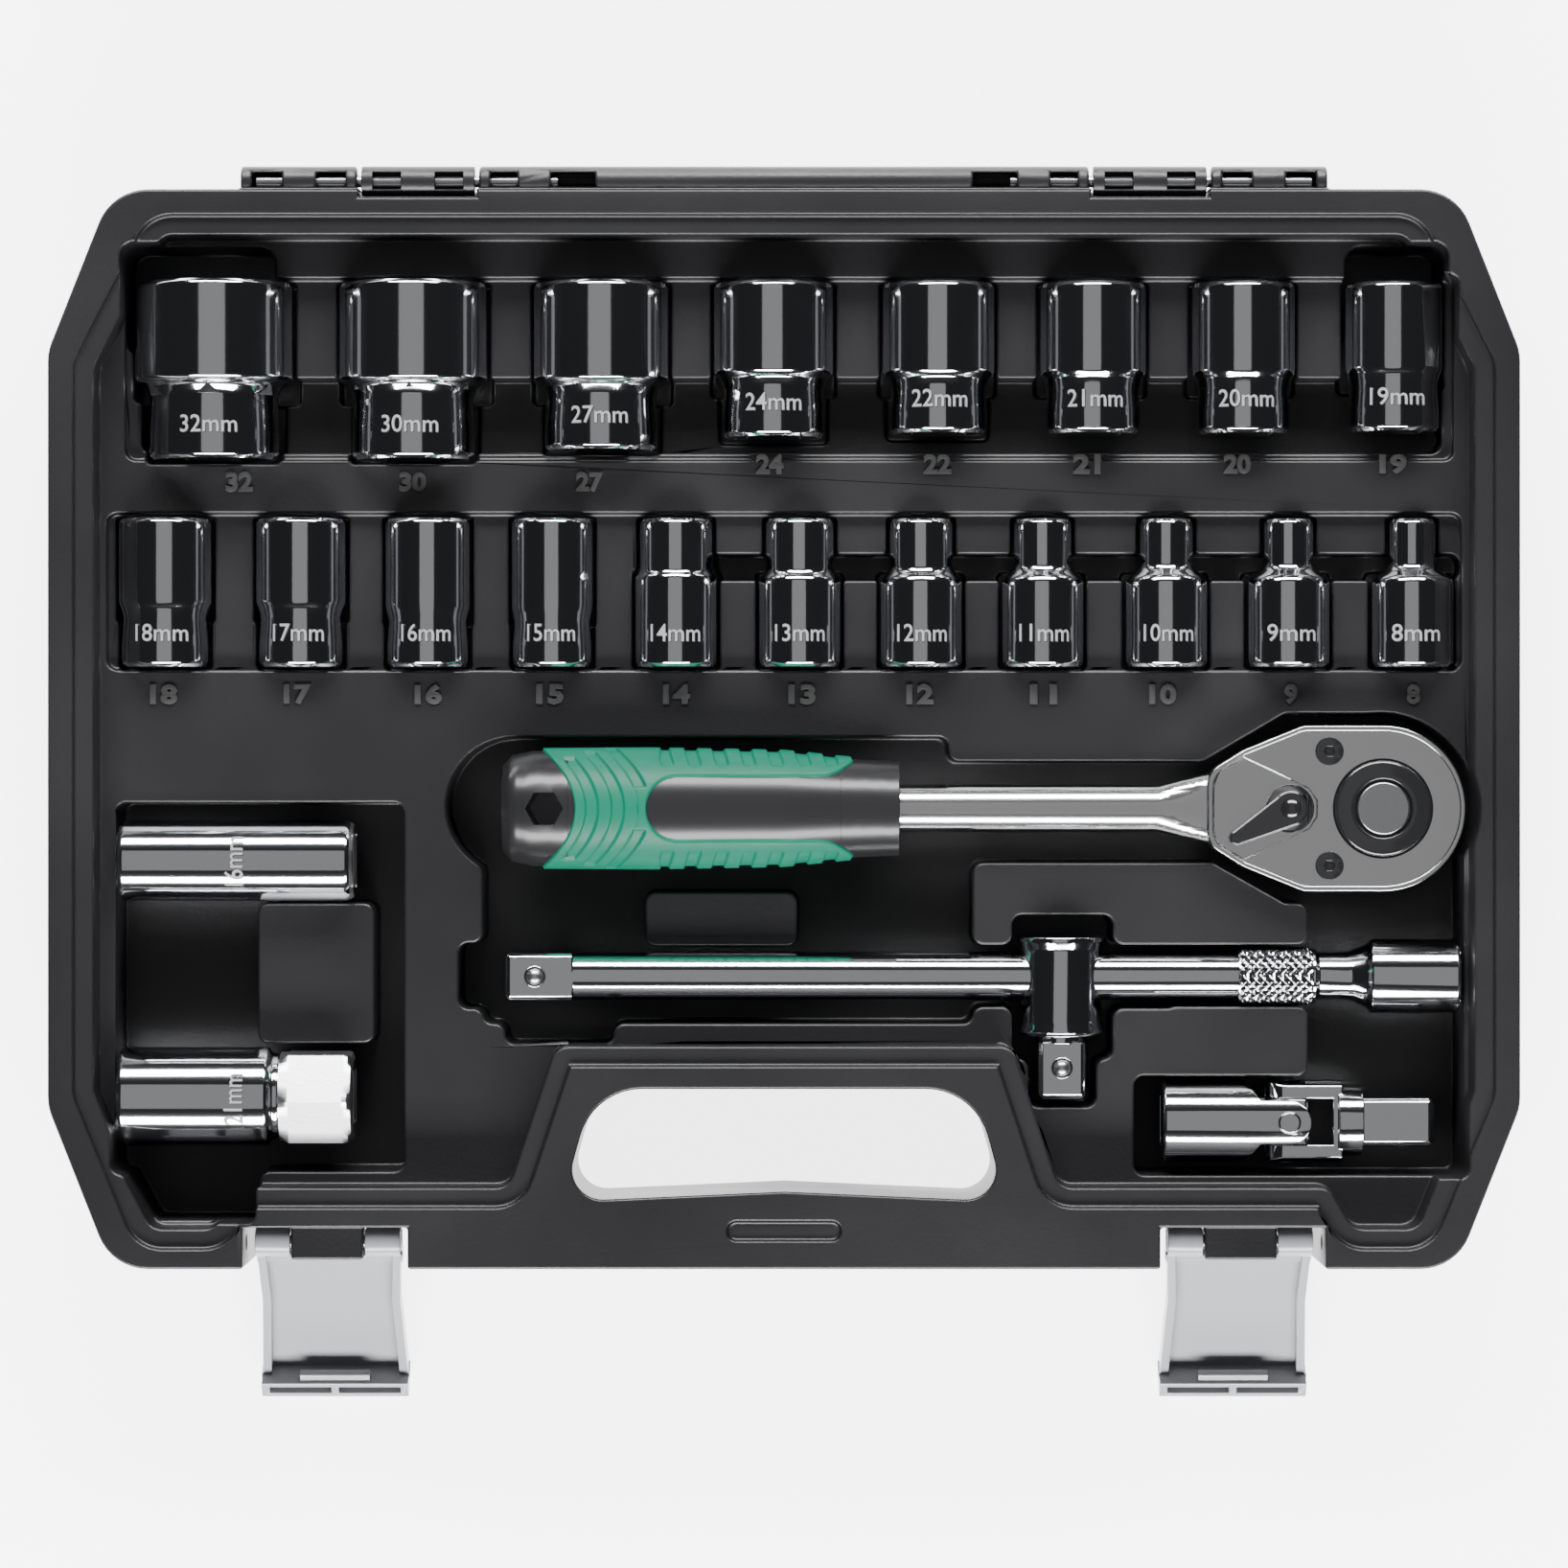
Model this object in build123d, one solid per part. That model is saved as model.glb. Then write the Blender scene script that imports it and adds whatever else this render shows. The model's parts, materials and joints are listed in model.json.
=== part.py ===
from build123d import *
import math
import os

# Half-inch drive socket wrench set lying open in the bottom half of a moulded carrying case.
# Millimetres. +Z up, +Y towards the hinge, +X to the right. The origin is the middle of the underside.

# Case shell
case_w = 390.0
case_front = -143.0
case_rear = 143.0
rim_z = 44.0
rim_step_w = 5.2
rim_step_drop = 1.8
land_z = 30.0
row_drop = 3.0
deep_z = 7.0
boss_z = 25.0
corner_y = 100.0
corner_x = 178.0
wall_in = 12.0

# Hinge along the rear edge
hinge_y = 145.4
hinge_z = 39.5
hinge_r = 4.0
pin_r = 1.6
pin_play = 0.05
hinge_gap = 0.6
knuckle_a = (-144.0, -113.2)
knuckle_b = (-112.0, -82.0)
knuckle_c = (-80.8, 80.8)
knuckle_d = (82.0, 112.0)
knuckle_e = (113.2, 144.0)

# Latches along the front edge, hanging open with their hooks on the floor
latch_x = 121.5
latch_w = 38.6
latch_len = 50.0
latch_t = 2.4
latch_side_h = 6.0
latch_pivot_y = -136.6
latch_pivot_z = 33.0
latch_tilt = 34.0
latch_pin_r = 1.7
lug_half = 9.6
notch_half = 21.8

# Drive standard
square = 12.7
square_hole = 12.9
ball_r = 2.6
square_len = 15.5

# Sockets: size -> (middle x, mouth outer diameter, drive end outer diameter, length, mouth part length)
row1_mouth_y = 119.0
row1_axis_z = 28.5
row1 = {
    32: (-152.3, 42.0, 34.5, 47.0, 27.0),
    30: (-99.1, 39.5, 32.5, 47.0, 27.0),
    27: (-48.9, 36.0, 30.0, 44.5, 27.0),
    24: (-2.8, 32.0, 27.5, 41.0, 25.0),
    22: (41.3, 30.0, 26.0, 40.0, 25.0),
    21: (82.6, 28.4, 25.4, 40.0, 25.0),
    20: (122.8, 27.6, 24.8, 40.0, 25.0),
    19: (162.9, 26.0, 24.2, 39.5, 24.0),
}
row2_mouth_y = 56.3
row2_axis_z = 27.0
row2 = {
    18: (-165.5, 25.0, 23.4, 39.5, 23.5),
    17: (-129.2, 24.2, 22.6, 39.5, 23.5),
    16: (-95.3, 22.8, 21.9, 39.5, 24.5),
    15: (-62.0, 21.9, 21.3, 39.5, 24.5),
    14: (-28.9, 19.6, 22.0, 39.5, 15.5),
    13: (4.2, 18.4, 22.0, 39.5, 16.0),
    12: (36.7, 17.0, 22.0, 39.5, 16.0),
    11: (69.2, 15.6, 22.0, 39.5, 16.0),
    10: (102.3, 14.4, 22.0, 39.5, 16.0),
    9: (135.0, 13.4, 22.0, 39.5, 16.0),
    8: (168.1, 12.6, 22.0, 39.5, 16.0),
}
socket_play = 0.8

# Spark plug sockets, lying along X at the left
plug_mouth_x = -177.4
plug_len = 62.5
plug16_y, plug16_d = -35.0, 21.6
plug21_y, plug21_d, plug21_hex, plug21_round = -98.1, 26.4, 23.5, 40.5
plug_axis_z = 27.0

# Ratchet
head_x, head_y, head_z = 159.2, -21.0, 31.0
head_r = 22.0
head_half_t = 7.0
gear_r, gear_teeth, gear_tooth_h = 13.2, 36, 1.1
gear_play = 0.08
button_r = 7.0
lever_x = -24.7
lever_len = 16.3
lever_angle = 208.7
pawl_back_x, pawl_pin_x, pawl_pin_r, pawl_gap, pawl_rock = -18.7, -16.8, 0.9, 0.55, 6.0
screw_x, screw_y = -14.2, 15.2
shank_r = 6.4
grip_left, grip_right = -75.0, 30.7

# Extension bar with the sliding tee head, lying along X
bar_y, bar_z = -65.9, 26.0
bar_left, bar_right = -74.5, 180.5
bar_r = 6.4
tee_x = 74.2
tee_r = 10.7
tee_top, tee_bottom = -55.4, -81.8
tee_square_end = -98.6

# Universal joint
joint_y, joint_z = -104.7, 25.0
joint_left, joint_right = 101.0, 173.6
cross_x = 134.6


def prism(points, z0, z1, radius=0.0):
    """A vertical prism on the closed outline through points, its upright edges rounded."""
    face = make_face(Polyline(*points, close=True))
    if radius:
        face = fillet(face.vertices(), radius)
    return Pos(0, 0, z0) * extrude(face, z1 - z0)


def slab(x0, x1, y0, y1, z0, z1, radius=0.0):
    """A box between the given sides, its upright edges rounded."""
    face = RectangleRounded(x1 - x0, y1 - y0, radius) if radius else Rectangle(x1 - x0, y1 - y0)
    return Pos((x0 + x1) / 2, (y0 + y1) / 2, z0) * extrude(face, z1 - z0)


def rod(start, axis, radius, length):
    """A cylinder from start along axis."""
    return extrude(Plane(origin=start, z_dir=axis) * Circle(radius), length)


def lathe(points):
    """A solid of revolution about Z from an outline of (radius, z) points."""
    return revolve(make_face(Polyline(*[(r, 0, z) for r, z in points], close=True)), Axis.Z)


def mirrored_outline(left_half):
    """The closed outline that goes down the left side and comes back up the right one."""
    return left_half + [(-x, y) for x, y in reversed(left_half)]


# ---------------------------------------------------------------- case
outer_outline = mirrored_outline(
    [(-corner_x, case_rear), (-case_w / 2, corner_y), (-case_w / 2, -corner_y), (-corner_x, case_front)]
)
cavity_left = [
    (-165.0, case_rear - wall_in),
    (-case_w / 2 + wall_in, corner_y - 4),
    (-case_w / 2 + wall_in, -corner_y + 4),
    (-168.0, -132.5),
    (-151.0, -132.5),
    (-144.5, -121.5),
    (-73.0, -121.5),
    (-60.5, -84.0),
]
handle_outline = [(-50.5, -95.3), (50.5, -95.3), (58.6, -125.0), (0, -122.4), (-58.6, -125.0)]


def deep_pockets():
    """Plan view of the deep finger wells, and of the standing bosses left in them."""
    wells = [
        (-178.6, -101.5, -118.0, -19.5),
        (-167.0, -140.0, -131.0, -110.0),
        (-72.0, 44.0, -36.0, -2.0),
        (-80.5, 50.5, -78.5, -20.0),
        (-74.5, -45.5, -84.0, -70.0),
        (-87.0, -70.0, -74.5, -57.0),
        (140.0, 181.6, -112.0, -18.0),
        (93.5, 181.6, -119.0, -92.5),
        (40.0, 116.0, -35.5, -8.5),
        (60.9, 88.0, -88.0, -49.5),
        (65.3, 83.5, -100.8, -80.0),
        (40.0, 181.6, -74.0, -57.5),
        (88.0, 104.0, -74.5, -60.0),
    ]
    plan = Sketch()
    for x0, x1, y0, y1 in wells:
        plan += Pos((x0 + x1) / 2, (y0 + y1) / 2) * Rectangle(x1 - x0, y1 - y0)
    plan += Pos(head_x, head_y) * Circle(head_r + 3.6)
    plan += Pos(-72.0, -20.4) * Circle(18.4)
    plan += make_face(
        Polyline((112, -8.5), (134, 4.4), (164, 4.4), (164, -46.4), (134, -46.4), (112, -34), close=True)
    )
    corner = [(-168.5, -131.0), (-151.5, -131.0), (-140.0, -115.0), (-178.6, -112.0)]
    plan += make_face(Polyline(*corner, close=True))
    for x0, x1, y0, y1 in [(-141.0, -109.8, -84.0, -46.4), (-37.2, 3.6, -58.0, -43.4)]:
        plan -= Pos((x0 + x1) / 2, (y0 + y1) / 2) * Rectangle(x1 - x0, y1 - y0)
    return plan


def soften(plan, radius):
    """The plan with its inner and outer corners rounded to about the radius."""
    plan = offset(plan, -radius, kind=Kind.ARC)
    plan = offset(plan, 2 * radius, kind=Kind.ARC)
    return offset(plan, -radius, kind=Kind.ARC)


def socket_well(x, mouth_y, axis_z, sizes):
    """The cut that a socket lies in, with room at its sides and ends."""
    mouth_d, drive_d, length, mouth_len = sizes
    half_m, half_d = mouth_d / 2 + socket_play, drive_d / 2 + socket_play
    y_top, y_mid, y_end = mouth_y + 1.0, mouth_y - mouth_len, mouth_y - length - 1.0
    floor_m, floor_d = axis_z - half_m, axis_z - half_d
    y_step = y_mid - 4.5 if mouth_d > drive_d else y_mid - 0.8
    mouth = slab(x - half_m, x + half_m, y_step, y_top, floor_m, rim_z, 1.5)
    drive = slab(x - half_d, x + half_d, y_end, y_mid + 2.0, floor_d, rim_z, 1.5)
    return mouth + drive


def make_tray():
    shell = prism(outer_outline, 0, rim_z, 14.0)
    shell = fillet(shell.faces().sort_by(Axis.Z)[0].edges(), 5.0)
    cavity = make_face(Polyline(*mirrored_outline(cavity_left), close=True))
    cavity = fillet(cavity.vertices(), 5.0)
    shell -= Pos(0, 0, rim_z - rim_step_drop) * extrude(offset(cavity, rim_step_w), rim_step_drop)
    shell -= Pos(0, 0, land_z) * extrude(cavity, rim_z - land_z)
    # Socket rows: a shallow recess each, wells below it and a finger trough along the ends
    shell -= slab(-176.0, 179.0, 72.0, 120.5, land_z - row_drop, rim_z, 3.0)
    shell -= slab(-181.0, 181.0, 16.0, 57.8, land_z - row_drop, rim_z, 3.0)
    shell -= slab(-172.0, 176.0, 74.0, 94.0, 15.0, rim_z, 3.0)
    shell -= slab(-38.0, 181.0, 40.0, 47.0, 17.0, rim_z, 3.0)
    shell -= slab(-176.0, -136.0, 100.0, 129.0, deep_z, rim_z, 4.0)
    shell -= slab(150.0, 176.0, 104.0, 129.0, deep_z, rim_z, 4.0)
    for row, mouth_y, axis_z in [(row1, row1_mouth_y, row1_axis_z), (row2, row2_mouth_y, row2_axis_z)]:
        for x, *sizes in row.values():
            shell -= socket_well(x, mouth_y, axis_z, sizes)
    # Deep wells with low bosses between the tools
    shell -= Pos(0, 0, deep_z) * extrude(soften(deep_pockets(), 2.8), rim_z - deep_z)
    for x0, x1, y0, y1 in [(-142.0, -109.0, -85.0, -45.6), (-38.0, 4.2, -58.8, -42.6)]:
        shell -= slab(x0, x1, y0, y1, boss_z, rim_z)
    # Handle grip hole, latch notches with their lugs
    handle = make_face(Polyline(*handle_outline, close=True))
    handle = fillet(handle.vertices().sort_by(Axis.Y)[-2:], 17.0)
    handle = fillet(handle.vertices().sort_by(Axis.Y)[:2], 8.0)
    shell -= extrude(handle, rim_z)
    shell -= slab(-15.0, 15.0, -135.4, -130.4, rim_z - 1.2, rim_z, 2.4)
    for side in (-1, 1):
        x = side * latch_x
        notch = slab(x - notch_half, x + notch_half, case_front - 5, -132.0, -1, rim_z + 1)
        lug = slab(x - lug_half, x + lug_half, -141.0, -131.5, latch_pivot_z - 5.5, latch_pivot_z + 4.5)
        shell -= notch
        shell += lug
        shell -= rod((x - 25, latch_pivot_y, latch_pivot_z), (1, 0, 0), latch_pin_r, 50)
    for x0, x1 in (knuckle_b, knuckle_d):
        shell -= rod((x0 - hinge_gap, hinge_y, hinge_z), (1, 0, 0), hinge_r + 0.5, x1 - x0 + 2 * hinge_gap)
        shell -= slab(x0 - hinge_gap, x1 + hinge_gap, hinge_y - hinge_r - 0.5, hinge_y + 6, hinge_z, rim_z + 1)
    return shell + case_knuckles()


def knuckle(x0, x1, saddles):
    """A hinge barrel round the pin, open in windows between its solid saddles."""
    barrel = rod((x0, hinge_y, hinge_z), (1, 0, 0), hinge_r, x1 - x0)
    for start, end in zip([x0 + 3.0] + [s[1] for s in saddles], [s[0] for s in saddles] + [x1 - 3.0]):
        if end - start > 2.0:
            barrel -= slab(start, end, hinge_y - 2.3, hinge_y + 2.3, hinge_z - 1.0, hinge_z + 5.0)
    return barrel - rod((x0 - 1, hinge_y, hinge_z), (1, 0, 0), pin_r + pin_play, x1 - x0 + 2)


def case_knuckles():
    """The case's own three barrels, joined to the rear edge by a web."""
    parts = Part()
    barrels = [
        (knuckle_a, [(-133.0, -124.0)]),
        (knuckle_c, [(-70.6, -61.8), (-50.0, 50.0), (61.8, 70.6)]),
        (knuckle_e, [(124.0, 133.0)]),
    ]
    for (x0, x1), saddles in barrels:
        web = slab(x0, x1, case_rear - 3.0, hinge_y, hinge_z - hinge_r, hinge_z - 1.9)
        web -= rod((x0 - 1, hinge_y, hinge_z), (1, 0, 0), pin_r + pin_play, x1 - x0 + 2)
        parts += knuckle(x0, x1, saddles) + web
    return parts


def make_hinge_pin(side):
    x0 = 60.0 if side > 0 else -140.0
    return rod((x0, hinge_y, hinge_z), (1, 0, 0), pin_r, 80.0)


def make_lid_knuckle(span, saddle):
    return knuckle(span[0], span[1], [saddle])


def make_latch():
    """Latch plate with side flanges, pivot ears and hook, flat along -Y from its pivot at the origin."""
    half = latch_w / 2
    hook = [(half + 0.6, -latch_len), (-half - 0.6, -latch_len)]
    outline = [(-half, 1.5), (half, 1.5), (half - 0.8, -20)] + hook
    outline = outline + [(-half + 0.8, -20)]
    plate = prism(outline, -5.6, -5.6 + latch_t)
    plate = plate - slab(-lug_half - 0.5, lug_half + 0.5, -7.0, 10, -9, 9)
    for side in (-1, 1):
        flange = [(half - 2.2, -1), (half, -1), (half - 0.8, -20), (half + 0.6, -latch_len)]
        flange = flange + [(half - 1.8, -latch_len), (half - 3.2, -20)]
        flange = [(side * x, y) for x, y in flange]
        plate += prism(flange, -5.6, -5.6 + latch_side_h)
        ear_x = side * (lug_half + 0.4)
        ear = rod((ear_x, 0, 0), (side, 0, 0), 3.9, half - lug_half - 0.4)
        ear += slab(min(ear_x, side * half), max(ear_x, side * half), -7.5, 0, -5.6, -1.0)
        plate += ear
    hook = slab(-half - 0.6, half + 0.6, -latch_len, -latch_len + 4.6, -5.6, 4.4)
    hook -= slab(-half + 1.6, -1.0, -latch_len + 1.4, -latch_len + 3.2, -1.5, 5)
    hook -= slab(1.0, half - 1.6, -latch_len + 1.4, -latch_len + 3.2, -1.5, 5)
    plate += hook
    plate += slab(-9.5, 9.5, -latch_len + 4.0, -latch_len + 6.6, 0.6, 3.2)
    plate -= rod((-25, 0, 0), (1, 0, 0), latch_pin_r + 0.05, 50)
    return plate


def place_latch(part, side):
    seat = Pos(side * latch_x, latch_pivot_y, latch_pivot_z)
    return seat * Rot(latch_tilt, 0, 0) * part


def make_latch_pin(side):
    x = side * latch_x - latch_w / 2 + 0.4
    return rod((x, latch_pivot_y, latch_pivot_z), (1, 0, 0), latch_pin_r, latch_w - 0.8)


# ---------------------------------------------------------------- sockets
def hex_prism(across_flats, z0, z1):
    face = RegularPolygon(across_flats / 2, 6, major_radius=False)
    return Pos(0, 0, z0) * extrude(face, z1 - z0)


def square_socket(z0, z1):
    return Pos(0, 0, z0) * extrude(Rectangle(square_hole, square_hole), z1 - z0)


def socket_blank(mouth_d, drive_d, length, mouth_len):
    """Outer form about Z: drive end at 0, mouth at length, a sloped shoulder between its two diameters."""
    rm, rd = mouth_d / 2, drive_d / 2
    shoulder = length - mouth_len
    run = min(3.0, 0.6 * abs(rm - rd) + 0.8)
    low = shoulder - run if rm > rd else shoulder
    high = shoulder if rm > rd else shoulder + run
    drive_end = [(0, 0), (rd - 0.7, 0), (rd, 0.9), (rd, low)]
    mouth_end = [(rm, high), (rm, length - 0.7), (rm - 0.7, length), (0, length)]
    return lathe(drive_end + mouth_end)


def make_socket(size, x, mouth_d, drive_d, length, mouth_len, mouth_y, axis_z):
    body = socket_blank(mouth_d, drive_d, length, mouth_len)
    bore_depth = length - 17.0
    body -= hex_prism(size + 0.15, length - min(bore_depth, 0.75 * size + 6), length + 1)
    body -= square_socket(-1, 14.5)
    body -= rod((0, 0, 10), (0, 0, 1), min(size, 12.0) / 2 - 0.3, length)
    lip = size * 0.577
    body -= lathe([(0, length + 0.1), (lip + 0.8, length + 0.1), (lip - 0.6, length - 1.4), (0, length - 1.4)])
    return Pos(x, mouth_y - length, axis_z) * Rot(-90, 0, 0) * body


def plug_place(part, y):
    return Pos(plug_mouth_x + plug_len, y, plug_axis_z) * Rot(0, -90, 0) * part


def make_plug_socket(size, y, diameter, hexed):
    """Long socket about Z, drive end at 0, where the larger one has a spanner hexagon."""
    r = diameter / 2
    if hexed:
        top = plug_len - plug21_round
        neck = [(0, top - 4), (r - 1.5, top - 4), (r - 1.5, top), (r, top + 0.8)]
        body = lathe(neck + [(r, plug_len), (0, plug_len)])
        nut = hex_prism(plug21_hex, 0, top - 1.8)
        drive_bevel = [(0, 0), (r - 2.6, 0), (r + 1, 3.2)]
        neck_bevel = [(r + 1, top - 4.6), (r - 2.6, top - 1.8), (0, top - 1.8)]
        nut &= lathe(drive_bevel + neck_bevel)
        body += nut
    else:
        mouth = [(r, plug_len - 0.6), (r - 0.6, plug_len), (0, plug_len)]
        body = lathe([(0, 0), (r - 1.2, 0), (r, 1.6)] + mouth)
    body -= hex_prism(size + 0.15, plug_len - 16, plug_len + 1)
    body -= rod((0, 0, 10), (0, 0, 1), size / 2 - 0.4, plug_len)
    body -= square_socket(-1, 14.5)
    return plug_place(body, y)


def make_plug_insert(size, y):
    r = size / 2 - 0.4
    ring = rod((0, 0, plug_len - 34), (0, 0, 1), r, 16.0)
    ring -= rod((0, 0, plug_len - 35), (0, 0, 1), r - 3.0, 20.0)
    return plug_place(ring, y)


# ---------------------------------------------------------------- ratchet
def head_plan(grow):
    """Plan view of the ratchet head about its drive axis, tapering to the shank along -X."""
    r = head_r + grow
    plan = Circle(r)
    body = [(0, r), (-21.0, r), (-37, 15.5 + grow), (-46.5 - grow, 9.6 + grow * 0.6)]
    plan += make_face(Polyline(*(body + [(x, -y) for x, y in reversed(body)]), close=True))
    return soften(plan, 6.0)


def ratchet_place(part):
    return Pos(head_x, head_y, head_z) * part


def lever_pocket(z0, z1):
    upper = [(-46, 8), (-37, 13.6), (-19.5, 5.4), (-17.4, 2.2)]
    pocket = upper + [(x, -y) for x, y in reversed(upper)]
    return prism(pocket, z0, z1)


def make_head():
    t = head_half_t
    body = Pos(0, 0, -t) * extrude(head_plan(0), 2 * t - 1.0)
    body += Pos(0, 0, t - 1.0) * extrude(head_plan(0) - head_plan(-1.4), 1.0)
    body += lever_pocket(t - 1.01, t - 0.2)
    body = body - rod((0, 0, -t - 1), (0, 0, 1), gear_r + gear_play - 1.6, 20)
    body = body - rod((0, 0, -t + 2.0), (0, 0, 1), gear_r + gear_play, 20)
    body = body - rod((lever_x, 0, -t + 2.0), (0, 0, 1), 6.2, 2 * t)
    body -= slab(lever_x, -8, -6.2, 6.2, -t + 2.0, t - 2.5)
    body -= rod((lever_x, 0, -t + 2.0), (0, 0, 1), 6.2, 2 * t)
    for side in (-1, 1):
        body -= rod((screw_x, side * screw_y, -2), (0, 0, 1), 1.7, 12)
    neck_x = -46.0
    shank = rod((neck_x + 4, 0, 0), (-1, 0, 0), shank_r, head_x - grip_left + neck_x - 30.0)
    neck = loft(
        [
            Plane(origin=(neck_x + 3.5, 0, 0), x_dir=(0, 1, 0), z_dir=(-1, 0, 0)) * RectangleRounded(20, 13.6, 4),
            Plane(origin=(neck_x - 14, 0, 0), x_dir=(0, 1, 0), z_dir=(-1, 0, 0)) * Circle(shank_r),
        ]
    )
    return ratchet_place(body + neck + shank)


def make_cover():
    t = head_half_t
    plate = Pos(0, 0, t - 0.98) * extrude(head_plan(-1.45), 0.98)
    plate -= lever_pocket(t - 2, t + 2)
    plate -= rod((0, 0, 0), (0, 0, 1), gear_r + gear_play, 20)
    for side in (-1, 1):
        plate -= rod((screw_x, side * screw_y, 0), (0, 0, 1), 3.7, 20)
    return ratchet_place(plate)


def make_cover_screws():
    screws = Part()
    for side in (-1, 1):
        face = Circle(3.6) - RegularPolygon(1.5, 6)
        head = Pos(screw_x, side * screw_y, head_half_t - 0.98) * extrude(face, 0.8)
        head += rod((screw_x, side * screw_y, -2), (0, 0, 1), 1.6, head_half_t + 1.1)
        screws += head
    return ratchet_place(screws)


def make_gear():
    """Toothed ring with the drive square under it, bored for the release rod and the detent ball."""
    t = head_half_t
    teeth = Pos(0, 0, -t + 2.05) * extrude(Circle(gear_r), 2 * t - 3.0)
    step = 360 / gear_teeth
    gap = Pos(gear_r + 0.3, 0, -t + 4.0) * extrude(Rectangle(2 * gear_tooth_h, gear_tooth_h * 1.1), 5.0)
    for i in range(gear_teeth):
        teeth -= Rot(0, 0, i * step) * gap
    body = teeth + rod((0, 0, -t - 0.6), (0, 0, 1), gear_r - 1.62, 4.0)
    anvil = extrude(Pos(0, 0) * Rectangle(square, square), -square_len)
    anvil = chamfer(anvil.faces().sort_by(Axis.Z)[0].edges(), 1.0)
    body += Pos(0, 0, -t - 0.5) * fillet(anvil.edges().filter_by(Axis.Z), 1.0)
    body -= rod((0, 0, -t - 12), (0, 0, 1), 2.0, 40)
    body -= rod((0, 0, t - 4.6), (0, 0, 1), button_r + 0.1, 20)
    body -= rod((0, 0, -t - 9.5), (0, -1, 0), ball_r + 0.05, 12)
    return ratchet_place(body)


def make_ball(origin, axis, proud):
    x, y, z = (origin[i] + axis[i] * (square / 2 - ball_r + proud) for i in range(3))
    return Pos(x, y, z) * Sphere(ball_r)


def make_button():
    t = head_half_t
    cap = rod((0, 0, t - 1.2), (0, 0, 1), button_r, 2.8)
    cap = fillet(cap.faces().sort_by(Axis.Z)[-1].edges(), 0.5)
    cap += rod((0, 0, -t - 4.0), (0, 0, 1), 1.9, 2 * t + 3.0)
    return ratchet_place(cap)


def make_lever():
    """Thumb lever on its spindle, pointing to one stop."""
    t = head_half_t
    spindle = rod((0, 0, -t + 2.4), (0, 0, 1), 4.4, 2 * t - 2.0)
    plan = Circle(4.7) + make_face(
        Polyline((0, 4.7), (lever_len, 2.0), (lever_len, -2.0), (0, -4.7), close=True)
    )
    plan += Pos(lever_len, 0) * Circle(2.0)
    thumb = Pos(0, 0, t + 0.05) * extrude(plan, 3.0)
    thumb = fillet(thumb.faces().sort_by(Axis.Z)[-1].edges(), 0.8)
    thumb -= Pos(0, 0, t + 5.8) * Sphere(3.9)
    spindle -= rod((0, 0, -t + 6.5), (-1, 0, 0), 1.42, 8)
    return ratchet_place(Pos(lever_x, 0, 0) * Rot(0, 0, lever_angle) * (spindle + thumb))


def make_pawl():
    """Pawl on its pin between the spindle and the gear, rocked to one side and clear of the teeth."""
    t = head_half_t
    block = slab(pawl_back_x, -8, -5.4, 5.4, -t + 4.0, -t + 9.0, 0.8)
    block -= rod((0, 0, -t), (0, 0, 1), gear_r + pawl_gap, 20)
    step = 360 / gear_teeth
    notch = Pos(-gear_r - pawl_gap, 0, -t + 3) * extrude(Rectangle(1.6, gear_tooth_h * 0.9), 8.0)
    for i in (-2, -1, 1, 2):
        block -= Rot(0, 0, (i + 0.5 if i < 0 else i - 0.5) * step) * notch
    block -= rod((pawl_pin_x, 0, -t), (0, 0, 1), pawl_pin_r + 0.05, 20)
    rock = Pos(pawl_pin_x, 0, 0) * Rot(0, 0, -pawl_rock / 2) * Pos(-pawl_pin_x, 0, 0)
    return ratchet_place(rock * block)


def make_pawl_pin():
    return ratchet_place(rod((pawl_pin_x, 0, -head_half_t + 2.0), (0, 0, 1), pawl_pin_r, 2 * head_half_t - 4.5))


def make_plunger():
    """Round-nosed plunger in the lever's spindle, pointing at the back of the pawl."""
    nose = rod((0, 0, -head_half_t + 6.5), (-1, 0, 0), 1.4, 4.4)
    nose += Pos(-4.4, 0, -head_half_t + 6.5) * Sphere(1.4)
    nose -= rod((0, 0, -head_half_t + 6.5), (-1, 0, 0), 3.0, 1.6)
    return ratchet_place(Pos(lever_x, 0, 0) * Rot(0, 0, lever_angle) * nose)


def make_button_spring():
    """Three stacked turns under the release button's cap."""
    t = head_half_t
    turns = Part()
    for i in range(3):
        turns += Pos(0, 0, t - 4.5 + i * 1.1) * (extrude(Circle(4.6) - Circle(3.4), 0.8))
    return ratchet_place(turns)


def grip_blank(radii_scale, inset):
    """Round grip profile about its own axis, from its butt at 0 towards the head."""
    length = grip_right - grip_left
    stations = [(0, 11.5), (2.5, 14.2), (8, 15.4), (40, 15.6), (75, 15.0), (92, 13.2), (length, 12.6)]
    outline = [(0, 0)] + [(r * radii_scale - inset, x) for x, r in stations] + [(0, length)]
    return lathe(outline)


def grip_place(part):
    return Pos(grip_left, head_y, head_z) * Rot(0, 90, 0) * part


def sleeve_span():
    """The band along the grip that the soft sleeve covers."""
    return rod((0, 0, 18), (0, 0, 1), 30, 72)


def inlay_window(grow):
    window = Pos(56, 0, 0) * SlotOverall(62 + 2 * grow, 16.5 + 2 * grow)
    return extrude(window, 30)


def make_grip():
    core = grip_blank(1.0, 0) - (sleeve_span() - grip_blank(1.0, 1.6))
    core = core - rod((0, 0, 20), (0, 0, 1), shank_r + 0.02, 100)
    hang = Rot(0, 90, 0) * Pos(0, 0, -30) * extrude(RegularPolygon(5.0, 6), 60)
    return grip_place(core - Pos(0, 0, 11.5) * hang)


def make_sleeve():
    sleeve = (grip_blank(1.0, 0) & sleeve_span()) - grip_blank(1.0, 1.58)
    return grip_place(sleeve) - Pos(grip_left, head_y, head_z) * inlay_window(0)


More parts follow.
